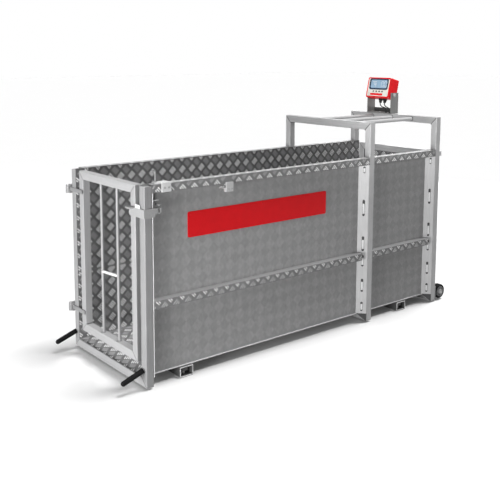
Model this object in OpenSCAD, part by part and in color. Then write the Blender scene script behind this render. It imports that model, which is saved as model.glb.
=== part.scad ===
// Weighing crate for pigs: a tread-plate pen on load bars, with a barred front door and a solid rear gate.
// X runs from the front door to the rear gate, Y from the near side to the far side, Z is up.

/* [Frame] */
// Outside of the square tube
tube = 40; // [30:1:60]
// Wall of the square tube
tube_wall = 3; // [2:0.5:5]
// Corner radius of the square tube
tube_r = 4; // [3.5:0.5:6]
// Length over the front and rear posts
crate_len = 2077; // [1900:1:2400]
// Clear width between the walls
clear_w = 600; // [500:1:800]
// Height of the front posts with their caps
post_h = 920; // [800:1:1000]
// Gap between the rear gate and the rear beam
headroom = 160; // [120:1:260]
// Length of the roofed bay, from the portal's front face to the rear frame's
bay_len = 580; // [450:1:800]
// Gap between the posts' feet and the ground
foot_gap = 10; // [5:0.5:20]
// Thickness of a post cap
cap_t = 4; // [2:0.5:8]
// Depth of a post cap's plug
cap_plug = 14; // [8:1:25]

/* [Walls and floor] */
// Thickness of the wall sheets
sheet_t = 2; // [1.5:0.1:3]
// Walls' top above the front posts' top
wall_rise = 6; // [0:1:30]
// Height of the folded lip along the top of the walls
lip_drop = 38; // [25:1:50]
// Top of the lower wall sheets above the posts' feet
band_z = 396; // [300:1:500]
// Height of the folded band along the lower wall sheets
band_drop = 39; // [25:1:50]
// Thickness of the floor plate
floor_t = 4; // [3:0.5:6]

/* [Slotted plates] */
// Thickness of the slotted plates
plate_t = 3; // [2:0.5:5]
// Width of a slot
slot_w = 14; // [8:1:20]

/* [Roof rails] */
// Diameter of a roof rail
rail_d = 22; // [16:1:30]
// Wall of a roof rail
rail_wall = 2; // [1.5:0.5:4]
// Spacing of the roof rails
rail_pitch = 155; // [120:1:180]

/* [Load bars] */
// Width of a load bar
bar_w = 72; // [60:1:100]
// Wall of a load bar
bar_wall = 4; // [3:0.5:6]
// Middle of the front load bar behind the front posts' front face
bar_front_x = 234; // [150:1:400]
// Middle of the rear load bar in front of the rear posts' rear face
bar_rear_in = 295; // [250:1:400]
// Distance of a load bar's end from the posts' outer face
bar_inset = 20; // [5:1:35]
// Thickness of a load foot's plate
foot_t = 5; // [3:0.5:8]
// Side of a load foot's plate
foot_w = 56; // [40:1:58]
// Play of a load foot's stud in the bar
stud_play = 2; // [1:0.5:4]
// Diameter of a load foot's stud
foot_stud_d = 14; // [10:1:18]
// Width of a load cell
cell_w = 30; // [20:1:40]
// Length of a load cell
cell_len = 130; // [100:1:160]
// Height of a load cell
cell_h = 22; // [16:1:26]

/* [Wheels] */
// Diameter of a wheel
wheel_d = 88; // [70:1:94]
// Width of a tyre
wheel_w = 36; // [25:1:38]
// Diameter of a hub
hub_d = 62; // [40:1:68]
// Diameter of an axle
axle_d = 16; // [10:1:20]
// Axle behind the rear posts' rear face
axle_back = 53; // [53:1:70]
// Axle above the posts' feet
axle_z = 42; // [36:1:50]
// Overhang of an axle's head
axle_rim = 5; // [3:0.5:7]
// Thickness of an axle's head
axle_head_t = 5; // [3:0.5:8]
// Hub's face behind the posts' outer face
hub_set = 1; // [0.5:0.5:3]
// Thickness of a wheel bracket
wheel_plate = 5; // [4:0.5:8]

/* [Handles] */
// Diameter of a handle bar
handle_d = 18; // [14:1:20]
// Diameter of a grip
grip_d = 24; // [22:1:28]
// Reach of a handle along its own axis
handle_len = 127; // [100:1:160]
// Slope of the handles below level
handle_slope = 19; // [0:1:30]
// Handle's root above the posts' feet
handle_z = 84; // [60:1:90]
// Gap between a grip and its post
grip_gap = 2; // [1:0.5:10]
// Diameter of the hanging hole in a grip
grip_hole_d = 8; // [5:0.5:10]

/* [Front door and rear gate] */
// Gap between a door's stiles and the posts
door_gap = 38; // [20:1:50]
// Underside of the doors above the posts' feet
door_z = 101; // [98:1:140]
// Diameter of the door bars
door_bar_d = 16; // [12:1:22]
// Diameter of the short cross bar
cross_bar_d = 13; // [8:1:14]
// Middle of the cross bar above the door's underside
cross_bar_up = 350; // [200:1:600]
// Fall of the cross bar from the far bar to the near bar
cross_bar_fall = 10; // [0:1:20]
// Thickness of the gate's panel
panel_t = 2; // [1.5:0.1:3]
// Panel behind the gate frame's front face
panel_set = 5; // [4:1:20]

/* [Hinges] */
// Thickness of a hinge strap
strap_t = 6; // [4:0.5:8]
// Height of a hinge strap
strap_h = 20; // [14:1:40]
// Diameter of a hinge barrel
barrel_d = 26; // [20:1:30]
// Diameter of a hinge pin
pin_d = 12; // [8:1:14]
// Thickness of a hinge lug
lug_t = 10; // [4:0.5:14]
// Length of a hinge lug on the post
lug_root = 30; // [20:1:38]
// Overhang of a hinge pin's head
pin_rim = 3; // [1:0.5:5]
// Thickness of a hinge pin's head
pin_head_t = 3; // [2:0.5:6]
// Hinge axis in front of the posts' face
hinge_out = 10; // [8:0.5:14]
// Hinge axis beside the posts' outer face
hinge_side = 19; // [16:0.5:25]
// Hinges' distance from the doors' ends
hinge_inset = 102; // [60:1:200]

/* [Latch] */
// Height of the latch strap
latch_h = 40; // [30:1:50]
// Middle of the latch strap below the front posts' top
latch_drop = 120; // [95:1:160]
// Length of the latch strap's leg along the post
latch_leg = 52; // [42:1:60]
// Length of the notched hook behind the leg
hook_len = 34; // [30:1:45]
// Height of the notched hook
hook_h = 24; // [22:1:30]
// Play of the rod's finger across the notch
notch_play = 2; // [1:0.5:4]
// Gap under the dropped finger in the notch
notch_clear = 4; // [2:0.5:5]
// Depth of the pull tab
tab_len = 20; // [10:1:30]
// Diameter of the drop rod
rod_d = 8; // [6:0.5:10]
// Drop rod behind the front posts' front face
rod_x = 71; // [66:1:76]
// Height of the rod's handle over the lip
rod_stand = 59; // [45:1:80]
// Length of the rod's bent handle
rod_handle = 18; // [12:1:30]
// Gap between the raised finger and the latch strap
finger_lift = 10; // [8:0.5:14]
// Overhang of the rod's finger beyond the strap
finger_over = 8; // [4:1:14]
// Hole for the rod in the lip, wider than the rod
lip_hole_play = 4; // [2:0.5:6]
// Travel of the drop rod
rod_drop = 26; // [20:1:28]
// Length of the rod guide on the lip
saddle_len = 48; // [40:1:60]
// Front edge of the rod guide behind the front posts' front face
saddle_x = 90; // [84:1:110]
// Width of the rod guides at the rod
tongue_w = 20; // [16:1:30]
// Thickness of the lower rod guide
lug_plate = 4; // [3:0.5:6]
// Gap between the raised finger and the lower rod guide
lug_clear = 13; // [8:1:16]
// Thickness of the rod guide
saddle_t = 5; // [3:0.5:8]

/* [Lip clamp] */
// Front face of the clamp behind the front posts' front face
clamp_x = 450; // [300:1:700]
// Length of the clamp
clamp_len = 41; // [30:1:60]
// Height of the clamp
clamp_h = 46; // [30:1:60]
// Thickness of the clamp
clamp_w = 20; // [14:1:30]
// Depth of the lip in the clamp
clamp_bite = 8; // [4:1:14]
// Reach of the clamp in front of the lip
clamp_proud = 8; // [4:1:10]
// Length of the clamp's stud
stud_len = 32; // [20:1:45]
// Diameter of the clamp's stud
stud_d = 8; // [6:0.5:10]

/* [Gate bolt] */
// Diameter of the gate's slide bolt
bolt_d = 14; // [10:1:16]
// Length of the slide bolt
bolt_len = 214; // [200:1:260]
// Travel of the slide bolt
bolt_travel = 66; // [60:1:70]
// Size of the bolt's guides and keeper
guide_w = 26; // [22:1:30]
// Length of the bolt's guides and keeper
guide_len = 20; // [14:1:24]
// First guide's edge from the gate's near edge
guide_in = 4; // [1:1:12]
// Spacing of the bolt's guides
guide_pitch = 118; // [108:1:130]
// Tip of the drawn bolt beyond its guide
bolt_tip = 2; // [0.5:0.5:8]
// Diameter of the bolt's lever
lever_d = 10; // [6:1:12]
// Thickness of the keeper's staple
staple_t = 6; // [4:0.5:8]
// Play of the bolt in the keeper
keeper_play = 2; // [1:0.5:4]
// Length of the bolt's lever
bolt_lever = 42; // [25:1:60]

/* [Sign] */
// Gap between the plate and the portal
sign_end = 299; // [200:1:600]
// Height of the plate
sign_h = 122; // [60:1:160]
// Thickness of the plate
sign_t = 3; // [2:0.5:5]
// Front edge of the plate behind the front posts' front face
sign_x = 258; // [200:1:400]
// Plate's top below the walls' top
sign_drop = 154; // [80:1:300]
// Diameter of a rivet head
rivet_d = 9; // [6:0.5:12]

/* [Screws] */
// Diameter of a small screw head
screw_d = 10; // [6:0.5:12]
// Thickness of a small screw head
screw_t = 3; // [2:0.5:5]
// Diameter of a bracket screw head
base_screw_d = 14; // [10:0.5:18]
// Thickness of a bracket screw head
base_screw_t = 5; // [3:0.5:8]

/* [Indicator] */
// Width of the housing
case_w = 182; // [160:1:200]
// Height of the housing
case_h = 129; // [110:1:150]
// Depth of the housing
case_d = 76; // [60:1:90]
// Wall of the housing
case_wall = 3; // [2:0.5:4]
// Corner radius of the housing's front
case_r = 10; // [6:1:16]
// Tilt of the front panel
case_tilt = 12.6; // [0:0.1:20]
// Pivot above the rear beam
pivot_h = 116; // [100:1:140]
// Pivot above the housing's underside
pivot_up = 28; // [22:1:40]
// Pivot behind the housing's front
pivot_back = 41; // [30:1:50]
// Housing's middle on the far side of the crate's middle
case_y = 105; // [0:1:140]
// Pivot behind the rear beam's front face
pivot_in = 25; // [20:1:40]
// Gap between the housing and the bracket's arms
arm_gap = 2; // [1:0.5:5]
// Width of the bracket's arms
arm_w = 70; // [50:1:90]
// Thickness of the bracket
arm_t = 4; // [3:0.5:6]
// Diameter of the pivot screws
pivot_d = 10; // [8:1:14]
// Diameter of the pivot knobs
knob_d = 24; // [18:1:30]
// Diameter of a key
key_d = 10; // [8:0.5:14]
// Spacing of the keys
key_pitch = 24; // [18:1:30]
// Travel of a key
key_travel = 1.2; // [0.8:0.1:2]
// Front panel's depth in the housing
panel_plug = 6; // [4:0.5:10]
// Front panel in front of the housing
panel_proud = 2; // [1:0.5:4]
// Frame of the display
lens_t = 3; // [2:0.5:6]
// Display in front of the panel
lens_proud = 1; // [0.5:0.5:2]
// Keys in front of the panel
key_proud = 2.5; // [2.2:0.1:4]
// Gap between the panel and the circuit board
key_seat = 4; // [2.5:0.5:8]
// Thickness of the circuit board
board_t = 2; // [1:0.1:3]

/* [Leads] */
// Diameter of a cable gland
gland_d = 20; // [16:1:24]
// Length of a cable gland
gland_len = 22; // [16:1:30]
// Cable glands behind the housing's front
gland_back = 34; // [24:1:44]
// Diameter of a cable entry
entry_d = 16; // [12:1:18]
// Thickness of a cable entry
entry_t = 5; // [3:0.5:8]
// Diameter of a lead
lead_d = 6; // [4:0.5:8]
// Radius of a lead's bends
lead_bend = 24; // [22:0.5:26]

/* [Hidden] */

// Smoothness of round shapes
$fn = 48;
// Overrun of cuts
over = 1;
// Radial clearance of running fits
run_gap = 0.05;
// Side clearance of moving faces
side_gap = 0.4;
// Gap at a lead's ends
lead_gap = 0.3;
// Clearance between the moving straps and the posts
strap_gap = 1;

half_w = clear_w / 2 + sheet_t + tube;
post_in = half_w - tube;
post_mid = half_w - tube / 2;
rear_x = crate_len - tube;
portal_x = rear_x - bay_len;
portal_h = post_h + headroom + tube;
wall_h = post_h + wall_rise;
front_tube_h = post_h - cap_t;
bore_r = max(tube_r - tube_wall, sheet_t / 4);
floor_top = tube + floor_t;
lip_z = wall_h - lip_drop;
plate_slant = plate_t * sqrt(2);
plate_foot = tube + plate_slant;
reach_front = handle_len * cos(handle_slope);
reach_rear = crate_len + axle_back + wheel_d / 2;
x_mid = (reach_rear - reach_front) / 2;

// Slots of a slotted plate, as shares of its height from the top
slot_shares = [[0.010, 0.055], [0.23, 0.34], [0.475, 0.575], [0.60, 0.68], [0.762, 0.853], [0.92, 0.985]];

door_half = post_in - door_gap;
door_top = post_h;
hinge_y = half_w + hinge_side;
hinge_heights = [door_z + hinge_inset, door_top - hinge_inset];
cross_bar_z = door_z + cross_bar_up;
barrel_r = barrel_d / 2;
pin_head_d = pin_d + 2 * pin_rim;

latch_z = post_h - latch_drop;
latch_base = latch_z - latch_h / 2;
latch_top = latch_z + latch_h / 2;
latch_leg_y = -half_w - strap_gap - strap_t;
notch_w = rod_d + notch_play;
notch_depth = rod_drop - finger_lift + notch_clear;
finger_z = latch_top + rod_d / 2 + finger_lift;
rod_y = -post_mid;
rod_top = wall_h + rod_stand;
lug_guide_z = finger_z + rod_d / 2 + lug_clear;
tongue_front = rod_x - tongue_w / 2;
lip_hole_d = rod_d + lip_hole_play;

bolt_x = crate_len + guide_w / 2;
bolt_z = door_top - tube / 2;
guide_near_y = -door_half + guide_in;
guide_far_y = guide_near_y + guide_pitch;
bolt_start = guide_near_y - bolt_tip;
keeper_y = -post_mid - guide_len / 2;
lever_y = guide_far_y - lever_d;

pivot_x = rear_x + pivot_in;
pivot_z = portal_h + pivot_h;
arm_in = case_w / 2 + arm_gap;
base_front = rear_x;
case_front = -pivot_back;
case_low = -pivot_up;
// Display window, key row and glands as shares of the housing's front
window_w_share = 0.80;
window_h_share = 0.52;
window_z_share = 0.68;
key_z_share = 0.31;
gland_shares = [-0.03, -0.22];
gland_nose_share = 0.7;
battery_z_share = 0.6;
key_count = 4;
entry_x = base_front + entry_d;
entry_shares = [-0.52, -0.84];
// Screws along a guide, a clamp and the bracket's base, as shares of their lengths
pair_shares = [0.27, 0.73];
clamp_screw_share = 0.72;
base_screw_shares = [0.05, 0.75];
lead_sides = 10;
// Steps of each of a lead's two arcs
lead_steps = 4;

// Every piece is placed with the ground at zero and the crate's middle over the origin
module placed() {
  translate([-x_mid, 0, foot_gap]) children();
}

// Box between two corners
module box(low, high) {
  translate(low) cube(high - low);
}

// Both sides of the crate, the far side being the near side mirrored
module both_sides() {
  children();
  mirror([0, 1, 0]) children();
}

// Square with arcs at its corners
module rounded_square(width, height, radius) {
  difference() {
    square([width, height], center = true);
    for (sx = [-1, 1], sy = [-1, 1]) {
      translate([sx * width / 2, sy * height / 2]) difference() {
        square(2 * radius, center = true);
        translate([-sx * radius, -sy * radius]) circle(radius);
      }
    }
  }
}

// Square tube standing on its lower end; a mitre of 1 cuts that end towards the tube's +X side
module mitred_tube(length, low_mitre, high_mitre) {
  bore_w = tube - 2 * tube_wall;
  h = tube / 2;
  intersection() {
    linear_extrude(length) difference() {
      rounded_square(tube, tube, tube_r);
      rounded_square(bore_w, bore_w, bore_r);
    }
    rotate([90, 0, 0]) linear_extrude(tube, center = true)
      polygon([[-h, 0], [h, low_mitre * tube], [h, length - high_mitre * tube], [-h, length]]);
  }
}

// Upright tube between two heights; the mitres open towards the crate's middle
module upright(x, y, low, high, low_mitre, high_mitre) {
  translate([x + tube / 2, y, low]) rotate([0, 0, y > 0 ? -90 : 90])
    mitred_tube(high - low, low_mitre, high_mitre);
}

// Cross tube from side to side at a height; side -1 has its mitres open downwards, 1 upwards
module crosswise(x, half_len, z, side, mitre) {
  translate([x + tube / 2, -half_len, z]) rotate([-90, 0, 0]) rotate([0, 0, -side * 90])
    mitred_tube(2 * half_len, mitre, mitre);
}

// Round bar along Y between two places
module bar_y(x, z, from, to, d) {
  translate([x, from, z]) rotate([-90, 0, 0]) cylinder(d = d, h = to - from);
}

// Frame

module front_posts() {
  color("silver") placed() for (y = [-post_mid, post_mid]) {
    upright(0, y, 0, front_tube_h, 1, 0);
  }
}

module portal_posts() {
  color("silver") placed() for (y = [-post_mid, post_mid]) {
    upright(portal_x, y, 0, portal_h, 1, 1);
  }
}

module rear_posts() {
  color("silver") placed() for (y = [-post_mid, post_mid]) {
    upright(rear_x, y, 0, portal_h, 1, 1);
  }
}

module top_beams() {
  color("silver") placed() for (x = [portal_x, rear_x]) {
    crosswise(x, half_w, portal_h - tube / 2, -1, 1);
  }
}

module foot_tubes() {
  color("silver") placed() for (x = [0, portal_x, rear_x]) {
    crosswise(x, half_w, tube / 2, 1, 1);
  }
}

module post_caps() {
  plug_w = tube - 2 * tube_wall - 2 * run_gap;
  color("gainsboro") placed() for (y = [-post_mid, post_mid]) {
    translate([tube / 2, y, front_tube_h]) {
      linear_extrude(cap_t) rounded_square(tube, tube, tube_r);
      translate([0, 0, -cap_plug]) linear_extrude(cap_plug) rounded_square(plug_w, plug_w, bore_r);
    }
  }
}

module roof_rails() {
  color("gainsboro") placed() for (y = [-rail_pitch, 0, rail_pitch]) {
    translate([portal_x + tube, y, portal_h - tube / 2]) rotate([0, 90, 0]) difference() {
      cylinder(d = rail_d, h = rear_x - portal_x - tube);
      translate([0, 0, -over]) cylinder(d = rail_d - 2 * rail_wall, h = crate_len);
    }
  }
}

// Walls and floor

module floor_plate() {
  color("darkgray") placed() box([0, -post_in, tube], [crate_len, post_in, floor_top]);
}

// Fold of a near wall sheet, outwards to the posts' outer face and then down
module fold(from, to, z, drop) {
  box([from, -half_w, z - sheet_t], [to, -post_in + sheet_t, z]);
  box([from, -half_w, z - drop], [to, -half_w + sheet_t, z]);
}

// Near wall sheet with its return behind the front post
module wall_sheet(low, high, drop) {
  box([0, -post_in, low], [crate_len, -post_in + sheet_t, high]);
  box([tube, -half_w, low], [tube + sheet_t, -post_in, high - drop]);
}

module upper_wall() {
  difference() {
    union() {
      wall_sheet(band_z, wall_h, lip_drop);
      fold(tube, portal_x, wall_h, lip_drop);
      fold(portal_x + tube, rear_x, wall_h, lip_drop);
    }
    translate([rod_x, rod_y, wall_h - sheet_t - over]) cylinder(d = lip_hole_d, h = sheet_t + 2 * over);
  }
}

module upper_walls() {
  color("gray") placed() both_sides() upper_wall();
}

module lower_walls() {
  color("gray") placed() both_sides() {
    wall_sheet(floor_top, band_z, band_drop);
    fold(tube, portal_x - plate_foot, band_z, band_drop);
    fold(portal_x + tube, rear_x - plate_foot, band_z, band_drop);
  }
}

// Plate across the corner between the near wall and a post, with a weld along the post's front
module slotted_plate(x) {
  low = floor_top;
  height = lip_z - low;
  weld = tube_r + plate_t / 2;
  difference() {
    translate([x, -half_w, low]) linear_extrude(height)
      polygon([[-plate_foot, tube], [-plate_slant, 0], [0, 0], [0, weld], [-weld, weld], [-tube, tube]]);
    translate([x - tube / 2, -half_w + tube / 2, low]) rotate([0, 0, 135]) for (s = slot_shares) {
      top = height * (1 - s[0]) - slot_w / 2;
      bottom = height * (1 - s[1]) + slot_w / 2;
      box([-slot_w / 2, -over, bottom], [slot_w / 2, plate_t + over, top]);
      for (z = [bottom, top]) {
        translate([0, -over, z]) rotate([-90, 0, 0]) cylinder(d = slot_w, h = plate_t + 2 * over);
      }
    }
  }
}

module slotted_plates() {
  color("whitesmoke") placed() both_sides() for (x = [portal_x, rear_x]) {
    slotted_plate(x);
  }
}

// Load bars

bar_rear_x = crate_len - bar_rear_in;
bar_low = foot_t - foot_gap;
bar_half = half_w - bar_inset;
foot_y = bar_half - foot_w / 2;
cell_in = foot_y - cell_len + foot_stud_d;
cell_low = tube - bar_wall - cell_h - side_gap;

module load_bars() {
  inner_w = bar_w - 2 * bar_wall;
  color("silver") placed() for (x = [bar_front_x, bar_rear_x]) {
    difference() {
      box([x - bar_w / 2, -bar_half, bar_low], [x + bar_w / 2, bar_half, tube]);
      box([x - inner_w / 2, -half_w, bar_low + bar_wall], [x + inner_w / 2, half_w, tube - bar_wall]);
      for (y = [-foot_y, foot_y]) {
        translate([x, y, bar_low - over]) cylinder(d = foot_stud_d + stud_play, h = bar_wall + 2 * over);
      }
    }
  }
}

module load_cells() {
  color("lightsteelblue") placed() both_sides() for (x = [bar_front_x, bar_rear_x]) {
    box([x - cell_w / 2, -foot_y - foot_stud_d, cell_low], [x + cell_w / 2, -cell_in, cell_low + cell_h]);
    box([x - cell_w / 2, -cell_in - cell_len / 3, cell_low + cell_h],
        [x + cell_w / 2, -cell_in, tube - bar_wall]);
  }
}

module load_feet() {
  color("gainsboro") placed() both_sides() for (x = [bar_front_x, bar_rear_x]) {
    box([x - bar_w / 2, -foot_y - foot_w / 2, -foot_gap],
        [x + bar_w / 2, -foot_y + foot_w / 2, bar_low - side_gap]);
    translate([x, -foot_y, bar_low - foot_t]) cylinder(d = foot_stud_d, h = cell_low - bar_low + foot_t);
  }
}

// Wheels

wheel_x = crate_len + axle_back;
arm_inner = post_in - wheel_plate;
hub_inner = post_in + side_gap;
hub_outer = half_w - hub_set;
tyre_inner = (hub_inner + hub_outer - wheel_w) / 2;
axle_head_d = axle_d + 2 * axle_rim;

module wheel_brackets() {
  color("silver") placed() both_sides() difference() {
    union() {
      box([crate_len, -half_w, 0], [crate_len + wheel_plate, -arm_inner, 2 * axle_z]);
      box([crate_len, -post_in, axle_z - axle_d], [wheel_x, -arm_inner, axle_z + axle_d]);
      bar_y(wheel_x, axle_z, -post_in, -arm_inner, 2 * axle_d);
    }
    bar_y(wheel_x, axle_z, -half_w, 0, axle_d + 2 * run_gap);
  }
}

module wheel_axles() {
  color("gainsboro") placed() both_sides() {
    bar_y(wheel_x, axle_z, -hub_outer - side_gap - axle_head_t, -arm_inner, axle_d);
    bar_y(wheel_x, axle_z, -hub_outer - side_gap - axle_head_t, -hub_outer - side_gap, axle_head_d);
  }
}

module tyre() {
  difference() {
    bar_y(wheel_x, axle_z, -tyre_inner - wheel_w, -tyre_inner, wheel_d);
    bar_y(wheel_x, axle_z, -half_w, 0, hub_d);
  }
}

module hub() {
  difference() {
    union() {
      bar_y(wheel_x, axle_z, -tyre_inner - wheel_w, -tyre_inner, hub_d);
      bar_y(wheel_x, axle_z, -hub_outer, -hub_inner, 2 * axle_d);
    }
    bar_y(wheel_x, axle_z, -half_w, 0, axle_d + 2 * run_gap);
  }
}

module near_wheel_tyre() {
  color("black") placed() tyre();
}

module near_wheel_hub() {
  color("dimgray") placed() hub();
}

module far_wheel_tyre() {
  color("black") placed() mirror([0, 1, 0]) tyre();
}

module far_wheel_hub() {
  color("dimgray") placed() mirror([0, 1, 0]) hub();
}

// Handles

grip_start = grip_d / 2 * tan(handle_slope) + grip_gap;
grip_bar_end = handle_len - grip_d - grip_hole_d;

// Along a near handle's own axis, which becomes Z
module along_handle() {
  translate([0, -post_mid, handle_z]) rotate([0, -90 - handle_slope, 0]) children();
}

module handle_bars() {
  color("silver") placed() both_sides() difference() {
    along_handle() translate([0, 0, -handle_d]) cylinder(d = handle_d, h = grip_bar_end + handle_d);
    box([0, -half_w, -tube], [2 * tube, -post_in, post_h]);
  }
}

module handle_grips() {
  color("black") placed() both_sides() along_handle() difference() {
    union() {
      translate([0, 0, grip_start]) cylinder(d = grip_d, h = handle_len - grip_d / 2 - grip_start);
      translate([0, 0, handle_len - grip_d / 2]) sphere(d = grip_d);
    }
    cylinder(d = handle_d + 2 * run_gap, h = grip_bar_end + run_gap);
    translate([0, -grip_d, handle_len - grip_d / 2]) rotate([-90, 0, 0])
      cylinder(d = grip_hole_d, h = 2 * grip_d);
  }
}

// Hinges, drawn for the front door; the rear gate has them mirrored behind the rear posts

module rear_copy() {
  translate([crate_len, 0, 0]) mirror([1, 0, 0]) children();
}

module hinge_lug(z) {
  difference() {
    union() {
      box([-hinge_out, half_w, z], [lug_root, hinge_y + barrel_r, z + lug_t]);
      translate([-hinge_out, hinge_y, z]) cylinder(d = barrel_d, h = lug_t);
    }
    translate([-hinge_out, hinge_y, z - over]) cylinder(d = pin_d + 2 * run_gap, h = lug_t + 2 * over);
  }
}

module front_lugs() {
  for (z = hinge_heights) {
    hinge_lug(z + strap_h / 2 + side_gap);
    hinge_lug(z - strap_h / 2 - side_gap - lug_t);
  }
}

module hinge_lugs() {
  color("silver") placed() {
    front_lugs();
    rear_copy() front_lugs();
  }
}

module front_pins() {
  span = strap_h + 2 * side_gap + 2 * lug_t;
  for (z = hinge_heights) {
    translate([-hinge_out, hinge_y, z - span / 2]) cylinder(d = pin_d, h = span);
    translate([-hinge_out, hinge_y, z + span / 2]) cylinder(d = pin_head_d, h = pin_head_t);
  }
}

module hinge_pins() {
  color("gainsboro") placed() {
    front_pins();
    rear_copy() front_pins();
  }
}

module front_straps() {
  stile_in = door_half - tube;
  for (z = hinge_heights) {
    low = z - strap_h / 2;
    high = z + strap_h / 2;
    difference() {
      union() {
        box([-strap_gap - strap_t, stile_in, low], [-strap_gap, hinge_y, high]);
        box([-strap_gap - strap_t, stile_in, low], [0, door_half, high]);
        translate([-hinge_out, hinge_y, low]) cylinder(d = barrel_d, h = strap_h);
      }
      translate([-hinge_out, hinge_y, low - over]) cylinder(d = pin_d + 2 * run_gap, h = strap_h + 2 * over);
    }
  }
}

module door_hinge_straps() {
  color("silver") placed() front_straps();
}

module gate_hinge_straps() {
  color("silver") placed() rear_copy() front_straps();
}

// Front door and rear gate

module stiles(x) {
  for (y = [-door_half + tube / 2, door_half - tube / 2]) {
    upright(x, y, door_z, door_top, 1, 1);
  }
}

module rails(x) {
  crosswise(x, door_half, door_top - tube / 2, -1, 1);
  crosswise(x, door_half, door_z + tube / 2, 1, 1);
}

module door_stiles() {
  color("silver") placed() stiles(0);
}

module door_rails() {
  color("gainsboro") placed() rails(0);
}

bar_y_place = (door_half - tube) / 3;

module door_bars() {
  color("gainsboro") placed() for (y = [-bar_y_place, bar_y_place]) {
    translate([tube / 2, y, door_z + tube]) cylinder(d = door_bar_d, h = door_top - door_z - 2 * tube);
  }
}

// The bar's ends are cut to the round of the two door bars
module door_cross_bar() {
  span = 2 * bar_y_place;
  color("white") placed() difference() {
    translate([tube / 2, 0, cross_bar_z]) rotate([-90 - atan(cross_bar_fall / span), 0, 0])
      cylinder(d = cross_bar_d, h = span, center = true);
    for (y = [-bar_y_place, bar_y_place]) {
      translate([tube / 2, y, door_z]) cylinder(d = door_bar_d, h = door_top);
    }
    for (side = [-1, 1]) {
      translate([0, side * (bar_y_place + door_bar_d), cross_bar_z])
        cube([2 * tube, 2 * door_bar_d, 2 * tube], center = true);
    }
  }
}

module gate_stiles() {
  color("silver") placed() stiles(rear_x);
}

module gate_rails() {
  color("silver") placed() rails(rear_x);
}

module gate_panel() {
  half = door_half - tube;
  front = rear_x + panel_set;
  color("gray") placed() box([front, -half, door_z + tube], [front + panel_t, half, door_top - tube]);
}

// Latch

module latch_strap() {
  front = -strap_gap - strap_t;
  stile_near = -door_half;
  stile_in = -door_half + tube;
  leg_end = front + strap_t + latch_leg;
  hook_end = leg_end + hook_len;
  color("whitesmoke") placed() difference() {
    union() {
      box([front, latch_leg_y, latch_base], [-strap_gap, stile_in, latch_top]);
      box([front, stile_near, latch_base], [0, stile_in, latch_top]);
      box([front, latch_leg_y, latch_base], [leg_end, latch_leg_y + strap_t, latch_top]);
      box([leg_end, latch_leg_y, latch_top - hook_h], [hook_end, latch_leg_y + strap_t, latch_top]);
      box([front - tab_len, stile_near, latch_top - strap_t], [front, stile_in, latch_top]);
    }
    box([rod_x - notch_w / 2, latch_leg_y - over, latch_top - notch_depth],
        [rod_x + notch_w / 2, latch_leg_y + strap_t + over, latch_top + over]);
  }
}

module drop_rod() {
  finger_end = latch_leg_y - finger_over;
  color("gainsboro") placed() {
    translate([rod_x, rod_y, finger_z]) cylinder(d = rod_d, h = rod_top - finger_z);
    translate([rod_x, rod_y, rod_top]) rotate([0, -90, 0]) cylinder(d = rod_d, h = rod_handle);
    bar_y(rod_x, finger_z, finger_end, rod_y, rod_d);
    for (z = [finger_z, rod_top]) {
      translate([rod_x, rod_y, z]) sphere(d = rod_d);
    }
  }
}

module rod_guides() {
  bore = rod_d + 2 * run_gap;
  end = saddle_x + saddle_len;
  color("whitesmoke") placed() difference() {
    union() {
      box([tongue_front, rod_y - tongue_w / 2, wall_h], [saddle_x, rod_y + tongue_w / 2, wall_h + saddle_t]);
      box([saddle_x, -half_w - saddle_t, wall_h], [end, -post_in + sheet_t, wall_h + saddle_t]);
      box([saddle_x, -half_w - saddle_t, lip_z], [end, -half_w, wall_h]);
      box([tube + sheet_t, rod_y - tongue_w / 2, lug_guide_z],
          [rod_x + tongue_w / 2, rod_y + tongue_w / 2, lug_guide_z + lug_plate]);
    }
    translate([rod_x, rod_y, lug_guide_z - over]) cylinder(d = bore, h = wall_h);
  }
}

module guide_screws() {
  z = (lip_z + wall_h) / 2;
  color("silver") placed() for (share = pair_shares) {
    bar_y(saddle_x + saddle_len * share, z, -half_w - saddle_t - screw_t, -half_w - saddle_t, screw_d);
  }
}

// Clamp on the lower edge of the lip

clamp_top = lip_z + clamp_bite;
clamp_out = -half_w - clamp_proud;
stud_z = clamp_top - clamp_h / 2;

module lip_clamp() {
  color("gainsboro") placed() difference() {
    box([clamp_x, clamp_out, clamp_top - clamp_h], [clamp_x + clamp_len, clamp_out + clamp_w, clamp_top]);
    box([clamp_x - over, -half_w, lip_z], [clamp_x + clamp_len + over, -half_w + sheet_t, clamp_top + over]);
  }
}

module clamp_stud() {
  y = clamp_out + clamp_w / 2;
  color("silver") placed() {
    translate([clamp_x - stud_len, y, stud_z]) rotate([0, 90, 0]) cylinder(d = stud_d, h = stud_len);
    translate([clamp_x - stud_len, y, stud_z]) sphere(d = stud_d);
    translate([clamp_x - stud_len / 2, y, stud_z]) rotate([0, 90, 0])
      cylinder(d = 2 * stud_d, h = stud_d / 3);
  }
}

module clamp_screws() {
  z = clamp_top - clamp_h * clamp_screw_share;
  color("silver") placed() for (share = pair_shares) {
    bar_y(clamp_x + clamp_len * share, z, clamp_out - screw_t, clamp_out, screw_d);
  }
}

// Gate bolt

module bolt_block(y) {
  difference() {
    box([crate_len, y, bolt_z - guide_w / 2], [crate_len + guide_w, y + guide_len, bolt_z + guide_w / 2]);
    bar_y(bolt_x, bolt_z, y - over, y + guide_len + over, bolt_d + 2 * run_gap);
  }
}

module bolt_guides() {
  color("silver") placed() for (y = [guide_near_y, guide_far_y]) {
    bolt_block(y);
  }
}

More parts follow.
